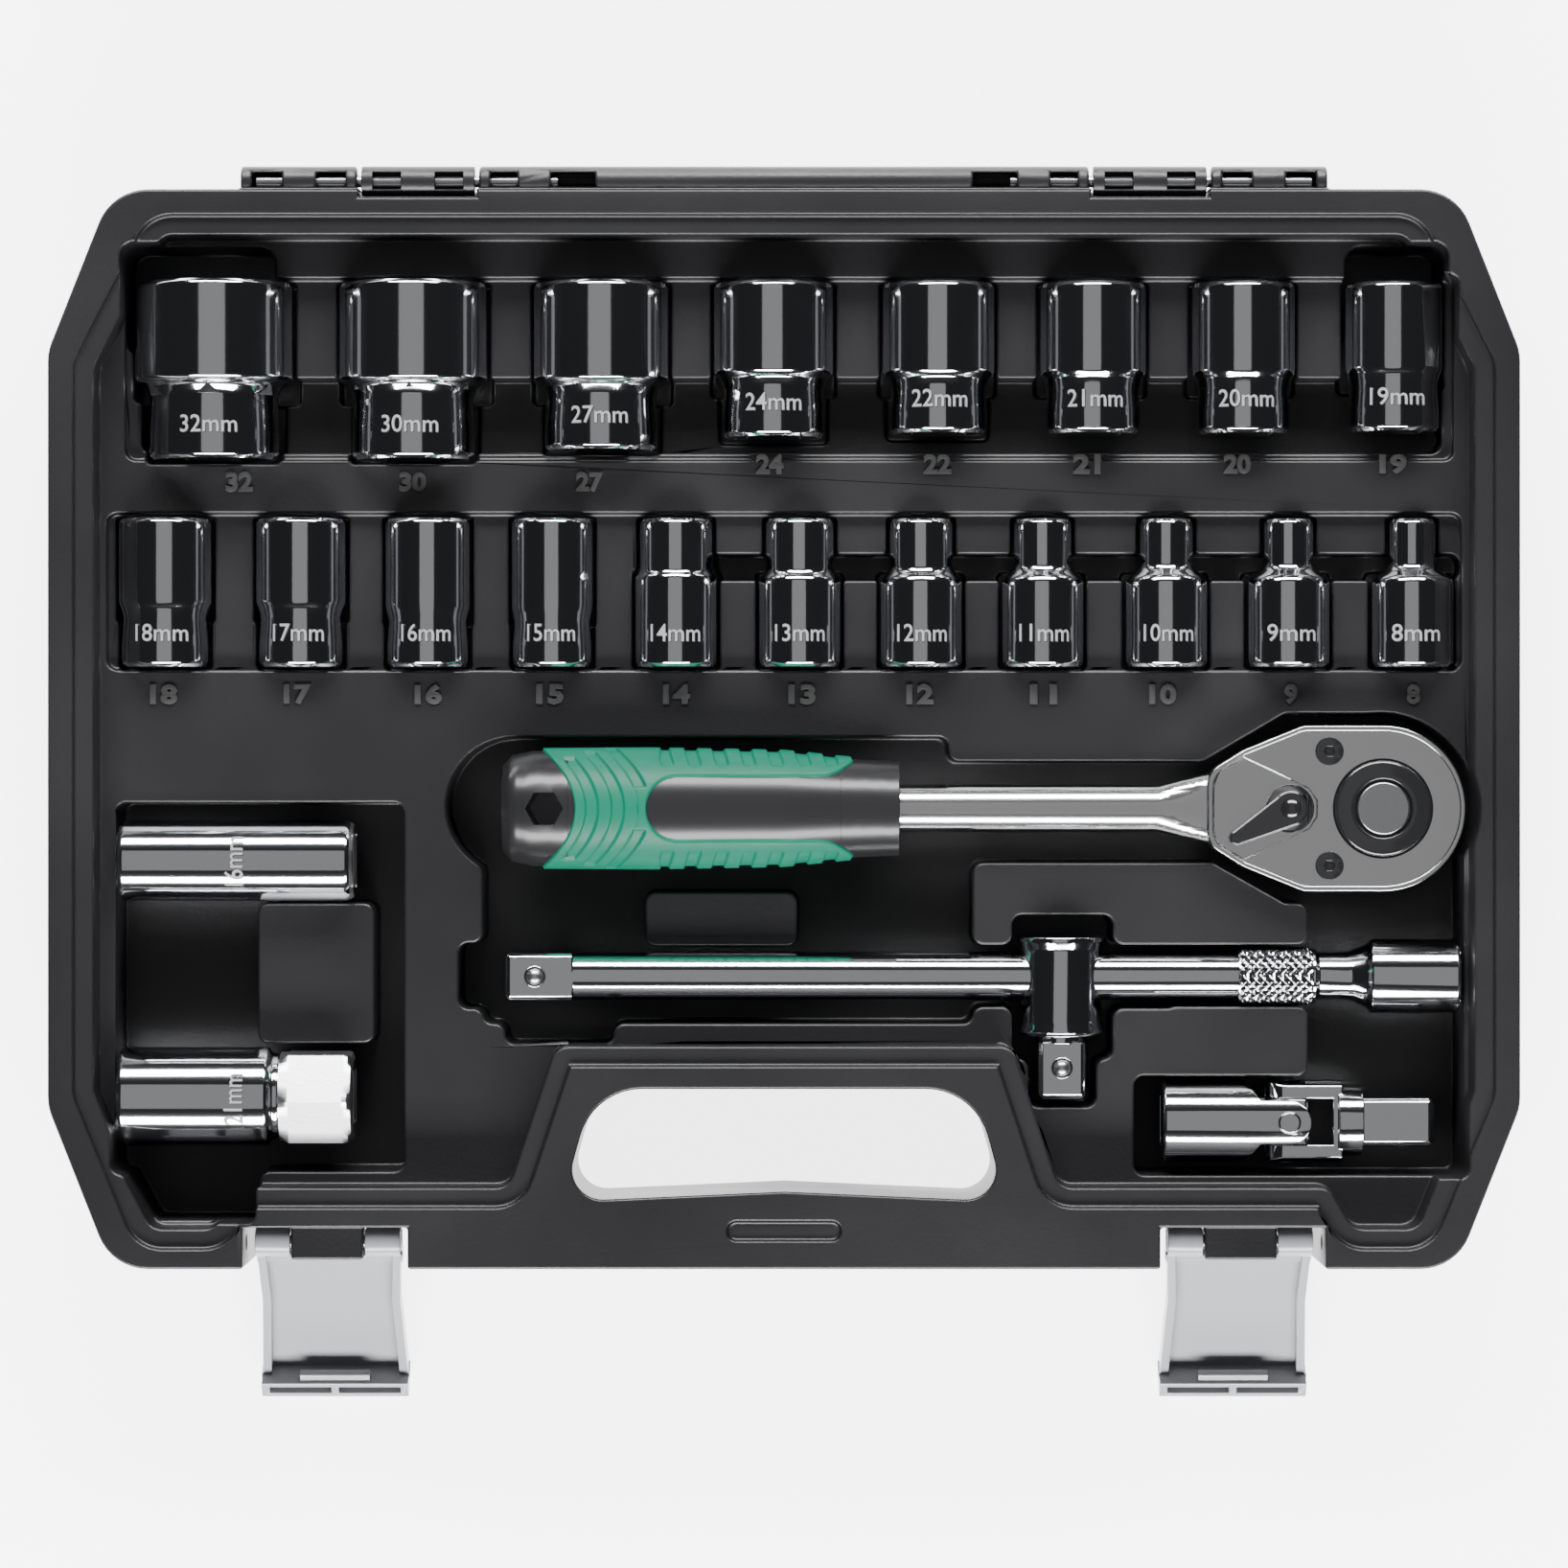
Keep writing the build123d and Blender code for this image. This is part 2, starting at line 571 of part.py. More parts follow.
def make_inlay():
    ring = grip_place((grip_blank(1.0, 0.25) & sleeve_span()) - grip_blank(1.0, 1.58))
    return ring & (Pos(grip_left, head_y, head_z) * inlay_window(-0.05))


# ---------------------------------------------------------------- extension bar and tee head
def make_bar():
    length = bar_right - bar_left
    shaft = lathe(
        [
            (0, 14), (bar_r - 0.4, 14), (bar_r, 15), (bar_r, length - 58),
            (7.3, length - 57.2), (7.3, length - 38.5),
            (bar_r, length - 37.6), (bar_r, length - 30), (8.4, length - 25), (10.0, length - 23.6),
            (10.0, length - 0.8), (9.2, length), (0, length),
        ]
    )
    drive = extrude(Rectangle(square, square), 18.0)
    drive = chamfer(drive.faces().sort_by(Axis.Z)[0].edges(), 1.2)
    drive &= rod((0, 0, 0), (0, 0, 1), 8.2, 18.0)
    shaft += drive
    shaft -= Pos(0, 0, length - 16) * extrude(Rectangle(square_hole, square_hole), 20)
    shaft -= rod((0, 0, 8.0), (-1, 0, 0), ball_r + 0.05, 12)
    return Pos(bar_left, bar_y, bar_z) * Rot(0, 90, 0) * shaft


def make_tee():
    """Collar with a cross hole for the bar and a drive square below it."""
    length = tee_top - tee_bottom
    lower = [(0, 0), (tee_r + 1.0, 0), (tee_r + 1.2, 1.2), (tee_r, 4)]
    upper = [(tee_r, length - 4), (tee_r + 0.8, length - 1), (tee_r, length), (0, length)]
    collar = lathe(lower + upper)
    collar -= rod((-30, 0, tee_top - bar_y), (1, 0, 0), bar_r + 0.08, 60)
    neck = rod((0, 0, length - 1), (0, 0, 1), 6.8, 3.2)
    drive = Pos(0, 0, length + 1.6) * extrude(Rectangle(square, square), tee_bottom - tee_square_end - 1.6)
    drive = chamfer(drive.faces().sort_by(Axis.Z)[-1].edges(), 1.2)
    drive &= rod((0, 0, 0), (0, 0, 1), 8.2, 60)
    body = collar + neck + drive
    body -= rod((0, 0, length + 8.5), (0, 1, 0), ball_r + 0.05, 12)
    return Pos(tee_x, tee_top, bar_z) * Rot(90, 0, 0) * body


# ---------------------------------------------------------------- universal joint
def make_joint_socket():
    """Female half: socket body with two flat ears above and below the cross."""
    length = cross_x - joint_left
    body = rod((0, 0, 0), (1, 0, 0), 10.9, length - 11)
    body = chamfer(body.faces().sort_by(Axis.X)[0].edges(), 0.8)
    taper = [(-11.5, -10.9), (-11.5, 10.9), (-7.5, 5.9), (0, 5.9), (0, -5.9), (-7.5, -5.9)]
    ears = Pos(length, 0, 0) * prism(taper, -10.9, 10.9) + rod((length, 0, -10.9), (0, 0, 1), 5.9, 21.8)
    ears &= rod((0, 0, 0), (1, 0, 0), 10.9, 60)
    ears -= slab(length - 11.1, length + 12, -12, 12, -6.2, 6.2)
    body = body + ears
    body -= slab(-1, 14.5, -square_hole / 2, square_hole / 2, -square_hole / 2, square_hole / 2)
    body -= rod((length, 0, -12), (0, 0, 1), 2.8, 24)
    return Pos(joint_left, joint_y, joint_z) * body


def make_joint_cross():
    """Centre block with the upright pin through both ears."""
    block = Box(12.0, 12.0, 12.0)
    block &= rod((0, 0, -8), (0, 0, 1), 7.6, 16) & rod((0, -8, 0), (0, 1, 0), 7.6, 16)
    block -= rod((0, -8, 0), (0, 1, 0), 2.6, 16)
    block += rod((0, 0, -11.2), (0, 0, 1), 2.75, 22.4)
    block -= rod((0, -8, 0), (0, 1, 0), 2.6, 16)
    return Pos(cross_x, joint_y, joint_z) * block


def make_joint_drive():
    """Male half: two upright ears beside the cross, a shoulder and the drive square."""
    reach = joint_right - cross_x
    ears = slab(0, 14.5, -10.9, 10.9, -5.9, 5.9) + rod((0, -10.9, 0), (0, 1, 0), 5.9, 21.8)
    ears &= rod((-10, 0, 0), (1, 0, 0), 11.2, 60)
    ears -= slab(-12, 12.0, -6.2, 6.2, -12, 12)
    collar = rod((13.5, 0, 0), (1, 0, 0), 9.4, 6.5)
    drive = slab(19.0, reach, -square / 2, square / 2, -square / 2, square / 2)
    drive = chamfer(drive.faces().sort_by(Axis.X)[-1].edges(), 1.4)
    drive &= rod((0, 0, 0), (1, 0, 0), 8.2, 60)
    body = ears + collar + drive
    body -= rod((0, -12, 0), (0, 1, 0), 2.55, 24)
    body -= rod((reach - 8.0, 0, 0), (0, -1, 0), ball_r + 0.05, 12)
    return Pos(cross_x, joint_y, joint_z) * body


def make_joint_pins():
    """The two short pins of the male half, pressed into its ears and turning in the cross."""
    pins = rod((0, -11.0, 0), (0, 1, 0), 2.52, 7.4) + rod((0, 3.6, 0), (0, 1, 0), 2.52, 7.4)
    return Pos(cross_x, joint_y, joint_z) * pins


def lying_ball(x, y, z, axis, proud):
    return make_ball((x, y, z), axis, proud)


nodes = {
    "case_tray": make_tray(),
    "hinge_pin_left": make_hinge_pin(-1),
    "hinge_pin_right": make_hinge_pin(1),
    "lid_knuckle_left": make_lid_knuckle(knuckle_b, (-101.5, -92.5)),
    "lid_knuckle_right": make_lid_knuckle(knuckle_d, (92.5, 101.5)),
    "latch_left": place_latch(make_latch(), -1),
    "latch_right": place_latch(make_latch(), 1),
    "latch_pin_left": make_latch_pin(-1),
    "latch_pin_right": make_latch_pin(1),
}
for row, mouth_y, axis_z in [(row1, row1_mouth_y, row1_axis_z), (row2, row2_mouth_y, row2_axis_z)]:
    for size, dims in row.items():
        nodes[f"socket_{size}"] = make_socket(size, *dims, mouth_y, axis_z)
nodes["plug_socket_16"] = make_plug_socket(16, plug16_y, plug16_d, False)
nodes["plug_socket_21"] = make_plug_socket(21, plug21_y, plug21_d, True)
nodes["plug_insert_16"] = make_plug_insert(16, plug16_y)
nodes["plug_insert_21"] = make_plug_insert(21, plug21_y)
nodes["ratchet_head"] = make_head()
nodes["ratchet_cover"] = make_cover()
nodes["ratchet_cover_screws"] = make_cover_screws()
nodes["ratchet_gear"] = make_gear()
nodes["ratchet_ball"] = ratchet_place(make_ball((0, 0, -head_half_t - 9.5), (0, -1, 0), 1.0))
nodes["release_button"] = make_button()
nodes["release_spring"] = make_button_spring()
nodes["reversing_lever"] = make_lever()
nodes["ratchet_pawl"] = make_pawl()
nodes["pawl_pin"] = make_pawl_pin()
nodes["pawl_plunger"] = make_plunger()
nodes["grip_core"] = make_grip()
nodes["grip_sleeve"] = make_sleeve()
nodes["grip_inlay"] = make_inlay()
nodes["extension_bar"] = make_bar()
nodes["extension_ball"] = lying_ball(bar_left + 8.0, bar_y, bar_z, (0, 0, 1), 1.0)
nodes["tee_head"] = make_tee()
nodes["tee_ball"] = lying_ball(tee_x, tee_bottom - 8.5, bar_z, (0, 0, 1), 1.0)
nodes["joint_socket"] = make_joint_socket()
nodes["joint_cross"] = make_joint_cross()
nodes["joint_drive"] = make_joint_drive()
nodes["joint_pins"] = make_joint_pins()
nodes["joint_ball"] = lying_ball(joint_right - 8.0, joint_y, joint_z, (0, -1, 0), 1.0)

os.makedirs("parts", exist_ok=True)
for name, solid in nodes.items():
    solid.label = name
    export_step(solid, f"parts/{name}.step")
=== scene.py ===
"""Socket wrench set in its open case: surfaces, materials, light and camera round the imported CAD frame."""

import json
import logging
import math
from dataclasses import dataclass, field
from enum import Enum
from typing import Callable, Dict, List, Optional, Sequence, Tuple

import bmesh
import bpy
import numpy as np
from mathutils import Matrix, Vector

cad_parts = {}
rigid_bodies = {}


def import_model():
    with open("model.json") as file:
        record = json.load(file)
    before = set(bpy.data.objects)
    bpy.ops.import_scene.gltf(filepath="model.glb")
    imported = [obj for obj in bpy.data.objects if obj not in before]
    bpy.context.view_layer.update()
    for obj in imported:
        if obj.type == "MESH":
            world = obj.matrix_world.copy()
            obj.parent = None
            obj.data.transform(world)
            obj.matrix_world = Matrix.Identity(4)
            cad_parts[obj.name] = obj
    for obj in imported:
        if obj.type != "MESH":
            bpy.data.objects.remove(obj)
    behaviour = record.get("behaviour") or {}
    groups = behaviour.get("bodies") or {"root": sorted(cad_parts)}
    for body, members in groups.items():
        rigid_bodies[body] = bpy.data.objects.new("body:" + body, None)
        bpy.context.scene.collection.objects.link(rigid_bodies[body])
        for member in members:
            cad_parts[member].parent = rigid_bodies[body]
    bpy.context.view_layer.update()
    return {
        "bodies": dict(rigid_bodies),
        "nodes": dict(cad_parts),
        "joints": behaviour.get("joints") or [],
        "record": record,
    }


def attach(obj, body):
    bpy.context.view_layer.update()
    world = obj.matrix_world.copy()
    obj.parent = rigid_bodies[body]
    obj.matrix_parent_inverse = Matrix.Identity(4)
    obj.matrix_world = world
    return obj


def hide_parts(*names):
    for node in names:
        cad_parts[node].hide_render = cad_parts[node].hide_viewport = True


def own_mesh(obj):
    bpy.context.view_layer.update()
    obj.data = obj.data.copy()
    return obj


LOG = logging.getLogger("socket_set")
MM = 0.001
Color = Tuple[float, float, float]
Profile = Sequence[Tuple[float, float]]
STAMP_LIFT = 0.04
HEX_PLAY = 0.075
SQUARE_HALF = 6.45
SQUARE_DEPTH = 14.5


# ---------------------------------------------------------------- finishes
class Grain(Enum):
    """Which fine relief a surface carries."""

    NONE = "none"
    MOULDED = "moulded"
    SATIN = "satin"
    RUBBER = "rubber"


@dataclass(frozen=True)
class Finish:
    """One surface finish and the record's material slot that it belongs to."""

    name: str
    slot: str
    color: Color
    roughness: float
    metallic: float = 0.0
    specular: float = 0.5
    coat: float = 0.0
    coat_roughness: float = 0.1
    grain: Grain = Grain.NONE
    grain_scale: float = 900.0
    grain_depth: float = 0.25
    wear: float = 0.0
    glow: float = 0.0


CASE = Finish(
    "case_black", "case_plastic", (0.0086, 0.0083, 0.0096), 0.4, specular=0.4, grain=Grain.MOULDED, wear=0.35
)
CHROME = Finish(
    "chrome", "chrome_steel", (0.78, 0.79, 0.81), 0.085, metallic=1.0, grain=Grain.SATIN, grain_depth=0.02
)
BORE = Finish(
    "bore_steel", "chrome_steel", (0.5, 0.5, 0.52), 0.3, metallic=1.0, grain=Grain.SATIN, grain_depth=0.1
)
DARK_CHROME = Finish(
    "dark_chrome", "dark_chrome", (0.8, 0.8, 0.81), 0.16, metallic=1.0, grain=Grain.SATIN, grain_depth=0.02
)
# Size marks: the light grey strokes are a painted highlight for the cut strokes catching light, and the
# near-black copy is a painted shadow along their edge.
ENGRAVED_HIGHLIGHT = Finish("engraved_painted_highlight", "chrome_steel", (0.27, 0.27, 0.28), 0.45)
SHADED = Finish("engraved_painted_shadow", "chrome_steel", (0.01, 0.01, 0.01), 0.6)
# Raised numbers: the case plastic made lighter and glossier, a painted highlight on the moulded numbers.
RAISED_HIGHLIGHT = Finish("raised_black_painted_highlight", "case_plastic", (0.04, 0.04, 0.041), 0.3)
BLACK_GLOSS = Finish("black_gloss", "black_steel", (0.011, 0.011, 0.012), 0.16, coat=0.4)
STEEL = Finish(
    "plain_steel", "pin_steel", (0.46, 0.46, 0.48), 0.28, metallic=1.0, grain=Grain.SATIN, grain_depth=0.08
)
LATCH = Finish(
    "latch_grey", "latch_grey", (0.27, 0.275, 0.29), 0.3, coat=0.3, grain=Grain.MOULDED, grain_depth=0.08
)
GREEN = Finish("grip_green", "grip_green", (0.003, 0.12, 0.071), 0.46, specular=0.22, grain=Grain.RUBBER)
GRIP_BLACK = Finish("grip_black", "grip_black", (0.013, 0.013, 0.014), 0.28, specular=0.32, coat=0.08)
RUBBER = Finish("insert_rubber", "insert_rubber", (0.015, 0.015, 0.015), 0.7, grain=Grain.RUBBER)
WALL = Finish("wall", "", (0.2, 0.2, 0.2), 0.9, specular=0.0, glow=5.0)
FLOOR = Finish("floor", "", (0.9, 0.9, 0.9), 0.6, specular=0.2, glow=4.0)


class MaterialLibrary:
    """Builds each finish once, on shared shader node groups."""

    def __init__(self) -> None:
        self._made: Dict[str, bpy.types.Material] = {}
        self._grain = self._build_grain_group()
        self._wear = self._build_wear_group()

    @staticmethod
    def _new_group(name: str, inputs: Sequence[Tuple[str, str, float]], outputs: Sequence[Tuple[str, str]]):
        """Makes a shader node group with the given sockets.

        Args:
            name: the group's name.
            inputs: socket name, socket type and default of each input.
            outputs: socket name and socket type of each output.

        Returns:
            The group and its input and output nodes.
        """
        group = bpy.data.node_groups.new(name, "ShaderNodeTree")
        for label, kind, default in inputs:
            socket = group.interface.new_socket(label, in_out="INPUT", socket_type=kind)
            socket.default_value = default
        for label, kind in outputs:
            group.interface.new_socket(label, in_out="OUTPUT", socket_type=kind)
        return group, group.nodes.new("NodeGroupInput"), group.nodes.new("NodeGroupOutput")

    def _build_grain_group(self) -> bpy.types.NodeTree:
        """Fine relief from noise on object coordinates, as a normal."""
        group, source, sink = self._new_group(
            "fine_grain",
            [("Scale", "NodeSocketFloat", 900.0), ("Depth", "NodeSocketFloat", 0.2)],
            [("Normal", "NodeSocketVector")],
        )
        nodes, links = group.nodes, group.links
        coords = nodes.new("ShaderNodeTexCoord")
        noise = nodes.new("ShaderNodeTexNoise")
        noise.inputs["Detail"].default_value = 3.0
        bump = nodes.new("ShaderNodeBump")
        bump.inputs["Distance"].default_value = 0.0002
        links.new(coords.outputs["Object"], noise.inputs["Vector"])
        links.new(source.outputs["Scale"], noise.inputs["Scale"])
        links.new(source.outputs["Depth"], bump.inputs["Strength"])
        links.new(noise.outputs["Fac"], bump.inputs["Height"])
        links.new(bump.outputs["Normal"], sink.inputs["Normal"])
        return group

    def _build_wear_group(self) -> bpy.types.NodeTree:
        """Uneven gloss in broad patches, as a roughness."""
        group, source, sink = self._new_group(
            "rubbed_gloss",
            [("Roughness", "NodeSocketFloat", 0.4), ("Amount", "NodeSocketFloat", 0.3)],
            [("Roughness", "NodeSocketFloat")],
        )
        nodes, links = group.nodes, group.links
        coords = nodes.new("ShaderNodeTexCoord")
        broad = nodes.new("ShaderNodeTexNoise")
        broad.inputs["Scale"].default_value = 14.0
        broad.inputs["Detail"].default_value = 5.0
        spread = nodes.new("ShaderNodeMapRange")
        spread.inputs["From Min"].default_value = 0.3
        spread.inputs["From Max"].default_value = 0.7
        spread.inputs["To Min"].default_value = -0.5
        spread.inputs["To Max"].default_value = 0.5
        scaled = nodes.new("ShaderNodeMath")
        scaled.operation = "MULTIPLY"
        half = nodes.new("ShaderNodeMath")
        half.operation = "MULTIPLY_ADD"
        links.new(coords.outputs["Object"], broad.inputs["Vector"])
        links.new(broad.outputs["Fac"], spread.inputs["Value"])
        links.new(spread.outputs["Result"], scaled.inputs[0])
        links.new(source.outputs["Amount"], scaled.inputs[1])
        links.new(scaled.outputs[0], half.inputs[0])
        links.new(source.outputs["Roughness"], half.inputs[1])
        links.new(source.outputs["Roughness"], half.inputs[2])
        links.new(half.outputs[0], sink.inputs["Roughness"])
        return group

    def get(self, finish: Finish) -> bpy.types.Material:
        """The material of a finish, made the first time that it's asked for.

        Args:
            finish: the finish to look up.

        Returns:
            Its material.
        """
        if finish.name in self._made:
            return self._made[finish.name]
        material = bpy.data.materials.new(finish.name)
        material.use_nodes = True
        tree = material.node_tree
        shader = tree.nodes["Principled BSDF"]
        shader.inputs["Base Color"].default_value = (*finish.color, 1.0)
        shader.inputs["Metallic"].default_value = finish.metallic
        shader.inputs["Roughness"].default_value = finish.roughness
        shader.inputs["Specular IOR Level"].default_value = finish.specular
        shader.inputs["Coat Weight"].default_value = finish.coat
        shader.inputs["Coat Roughness"].default_value = finish.coat_roughness
        if finish.glow:
            shader.inputs["Emission Color"].default_value = (1.0, 1.0, 1.0, 1.0)
            shader.inputs["Emission Strength"].default_value = finish.glow
        if finish.grain is not Grain.NONE:
            grain = tree.nodes.new("ShaderNodeGroup")
            grain.node_tree = self._grain
            grain.inputs["Scale"].default_value = finish.grain_scale
            grain.inputs["Depth"].default_value = finish.grain_depth
            tree.links.new(grain.outputs["Normal"], shader.inputs["Normal"])
        if finish.wear:
            wear = tree.nodes.new("ShaderNodeGroup")
            wear.node_tree = self._wear
            wear.inputs["Roughness"].default_value = finish.roughness
            wear.inputs["Amount"].default_value = finish.wear
            tree.links.new(wear.outputs["Roughness"], shader.inputs["Roughness"])
        self._made[finish.name] = material
        return material


# ---------------------------------------------------------------- surfaces
@dataclass
class Surface:
    """A mesh gathered from vertex grids, with one finish index for each face."""

    verts: List[np.ndarray] = field(default_factory=list)
    faces: List[Tuple[int, ...]] = field(default_factory=list)
    finishes: List[int] = field(default_factory=list)
    count: int = 0

    def _add_verts(self, points: np.ndarray) -> int:
        start = self.count
        self.verts.append(points.reshape(-1, 3))
        self.count += points.reshape(-1, 3).shape[0]
        return start

    def grid(
        self,
        points: np.ndarray,
        finish: int = 0,
        around: bool = True,
        closed: bool = False,
        keep: Optional[np.ndarray] = None,
    ) -> None:
        """Adds quads over a grid of points.

        Args:
            points: array of shape (rows, columns, 3), in metres.
            finish: index of the finish in the object's list.
            around: joins the last column to the first.
            closed: joins the last row to the first.
            keep: which points may carry faces, of shape (rows, columns).
        """
        rows, cols = points.shape[:2]
        start = self._add_verts(points)
        row_ids = np.arange(rows if closed else rows - 1)
        col_ids = np.arange(cols if around else cols - 1)
        r, c = np.meshgrid(row_ids, col_ids, indexing="ij")
        r2, c2 = (r + 1) % rows, (c + 1) % cols
        quads = np.stack([r * cols + c, r * cols + c2, r2 * cols + c2, r2 * cols + c], axis=-1)
        quads = quads.reshape(-1, 4)
        if keep is not None:
            quads = quads[keep.reshape(-1)[quads].any(axis=1)]
        quads = quads + start
        self.faces.extend(map(tuple, quads.tolist()))
        self.finishes.extend([finish] * len(quads))

    def disc(self, ring: np.ndarray, finish: int = 0) -> None:
        """Closes a ring of points with a fan.

        Args:
            ring: array of shape (points, 3).
            finish: index of the finish in the object's list.
        """
        start = self._add_verts(np.vstack([ring, ring.mean(axis=0, keepdims=True)]))
        n = len(ring)
        self.faces.extend((start + i, start + (i + 1) % n, start + n) for i in range(n))
        self.finishes.extend([finish] * n)

    def build(
        self, name: str, materials: Sequence[bpy.types.Material], sharp: float = 32.0
    ) -> bpy.types.Object:
        """Makes the object, smooth shaded with its hard edges kept.

        Args:
            name: the object's name.
            materials: one material for each finish index.
            sharp: angle in degrees over which an edge stays hard.

        Returns:
            The object, linked into the scene.
        """
        mesh = bpy.data.meshes.new(name)
        mesh.from_pydata(np.vstack(self.verts).tolist(), [], self.faces)
        mesh.polygons.foreach_set("material_index", np.array(self.finishes, dtype=np.int32))
        return finish_mesh(name, mesh, materials, sharp)


def finish_mesh(
    name: str, mesh: bpy.types.Mesh, materials: Sequence[bpy.types.Material], sharp: float
) -> bpy.types.Object:
    """Cleans a mesh, turns its faces outward, shades it and links it into the scene.

    Args:
        name: the object's name.
        mesh: its mesh.
        materials: its materials, in order.
        sharp: angle in degrees over which an edge stays hard.

    Returns:
        The object.
    """
    work = bmesh.new()
    work.from_mesh(mesh)
    bmesh.ops.remove_doubles(work, verts=work.verts, dist=2e-6)
    bmesh.ops.recalc_face_normals(work, faces=work.faces)
    work.to_mesh(mesh)
    work.free()
    for material in materials:
        mesh.materials.append(material)
    mesh.polygons.foreach_set("use_smooth", [True] * len(mesh.polygons))
    mesh.set_sharp_from_angle(angle=math.radians(sharp))
    mesh.update()
    made = bpy.data.objects.new(name, mesh)
    bpy.context.scene.collection.objects.link(made)
    return made


def polygon_ring(apothem: float, sides: int, turn: float, count: int) -> np.ndarray:
    """Distances from the middle to a regular polygon, at evenly spaced angles.

    Args:
        apothem: half the distance across flats; with no sides, the radius of a circle.
        sides: number of sides, or 0 for a circle.
        turn: angle in radians of one flat's middle.
        count: number of points.

    Returns:
        Array of shape (count, 2) of points in the plane.
    """
    angle = np.linspace(0, 2 * math.pi, count, endpoint=False)
    reach = np.full(count, apothem)
    if sides:
        wedge = 2 * math.pi / sides
        local = np.mod(angle - turn + wedge / 2, wedge) - wedge / 2
        reach = apothem / np.cos(local)
    return np.stack([reach * np.cos(angle), reach * np.sin(angle)], axis=-1)


def rounded_profile(points: Profile, radius: float, steps: int = 3) -> List[Tuple[float, float]]:
    """Replaces each inner corner of a profile with a small arc.

    Args:
        points: the corners, as (radius, height).
        radius: how far from each corner the arc starts, at most.
        steps: segments in each arc.

    Returns:
        The profile with its corners rounded.
    """
    corners = np.array(points, dtype=float)
    out = [tuple(corners[0])]
    for before, here, after in zip(corners[:-2], corners[1:-1], corners[2:]):
        a, b = before - here, after - here
        la, lb = np.linalg.norm(a), np.linalg.norm(b)
        cut = min(radius, 0.45 * la, 0.45 * lb)
        start, end = here + a / la * cut, here + b / lb * cut
        for t in np.linspace(0, 1, steps + 1):
            out.append(tuple((1 - t) ** 2 * start + 2 * t * (1 - t) * here + t * t * end))
    out.append(tuple(corners[-1]))
    return out


@dataclass(frozen=True)
class Placement:
    """Where a lathe axis lies: its start and three directions, in millimetres."""

    origin: Tuple[float, float, float]
    along: Tuple[float, float, float]
    up: Tuple[float, float, float] = (0.0, 0.0, 1.0)

    def place(self, rings: np.ndarray) -> np.ndarray:
        """Turns local points (across, up, along) in millimetres into the row frame in metres.

        Args:
            rings: array whose last axis is (across, up, along).

        Returns:
            Array of the same shape, in metres.
        """
        along = np.array(self.along, dtype=float)
        up = np.array(self.up, dtype=float)
        across = np.cross(up, along)
        basis = np.stack([across, up, along])
        return (rings @ basis + np.array(self.origin)) * MM


def lathe_rings(profile: Profile, count: int = 96) -> np.ndarray:
    """Circles along a profile.

    Args:
        profile: (radius, height) points in millimetres.
        count: points round each circle.

    Returns:
        Array of shape (profile points, count, 3) of (across, up, along).
    """
    return np.stack([section(polygon_ring(r, 0, 0, count), z) for r, z in profile])


def section(ring: np.ndarray, along: float) -> np.ndarray:
    """A plane ring at a height along the axis."""
    return np.column_stack([ring, np.full(len(ring), along)])


# ---------------------------------------------------------------- lettering
def text_mesh(
    body: str, width: float, height: float, thickness: float, bevel: float, heavier: float = 0.0
) -> bpy.types.Mesh:
    """Lettering as a mesh, scaled to the given box and centred on its middle.

    Args:
        body: the characters.
        width: overall width in millimetres.
        height: overall height in millimetres.
        thickness: how far it stands up, in millimetres, or 0 for flat lettering.
        bevel: rounding of its edges in millimetres.
        heavier: how far its strokes are widened on each side, in millimetres.

    Returns:
        The mesh datablock, lying in the XY plane.
    """
    curve = bpy.data.curves.new("lettering", "FONT")
    curve.body = body
    curve.size = height * MM * 1.4
    curve.resolution_u = 3
    curve.extrude = thickness * MM / 2
    curve.bevel_depth = bevel * MM
    curve.bevel_resolution = 1
    curve.offset = heavier * MM
    carrier = bpy.data.objects.new("lettering", curve)
    bpy.context.scene.collection.objects.link(carrier)
    bpy.context.view_layer.update()
    mesh = bpy.data.meshes.new_from_object(carrier.evaluated_get(bpy.context.evaluated_depsgraph_get()))
    bpy.data.objects.remove(carrier)
    bpy.data.curves.remove(curve)
    points = np.empty(len(mesh.vertices) * 3)
    mesh.vertices.foreach_get("co", points)
    points = points.reshape(-1, 3)
    low, high = points.min(axis=0), points.max(axis=0)
    points -= (low + high) / 2
    points[:, 0] *= width * MM / max(high[0] - low[0], 1e-9)
    points[:, 1] *= height * MM / max(high[1] - low[1], 1e-9)
    mesh.vertices.foreach_set("co", points.ravel())
    mesh.update()
    return mesh


def finely_cut(mesh: bpy.types.Mesh, longest: float) -> None:
    """Splits the mesh's long edges so that it can be bent.

    Args:
        mesh: the mesh to change.
        longest: edge length in metres over which an edge is split.
    """
    work = bmesh.new()
    work.from_mesh(mesh)
    bmesh.ops.remove_doubles(work, verts=work.verts, dist=1e-6)
    for _ in range(3):
        bmesh.ops.triangulate(work, faces=work.faces)
        long_edges = [e for e in work.edges if e.calc_length() > longest]
        if not long_edges:
            break
        bmesh.ops.subdivide_edges(work, edges=long_edges, cuts=1)
    bmesh.ops.triangulate(work, faces=work.faces)
    work.to_mesh(mesh)
    work.free()


def move_points(mesh: bpy.types.Mesh, change: Callable[[np.ndarray], np.ndarray]) -> None:
    """Passes every vertex of the mesh through a function.

    Args:
        mesh: the mesh to change.
        change: takes and returns an array of shape (points, 3) in metres.
    """
    points = np.empty(len(mesh.vertices) * 3)
    mesh.vertices.foreach_get("co", points)
    mesh.vertices.foreach_set("co", np.ascontiguousarray(change(points.reshape(-1, 3)), dtype=float).ravel())
    mesh.update()


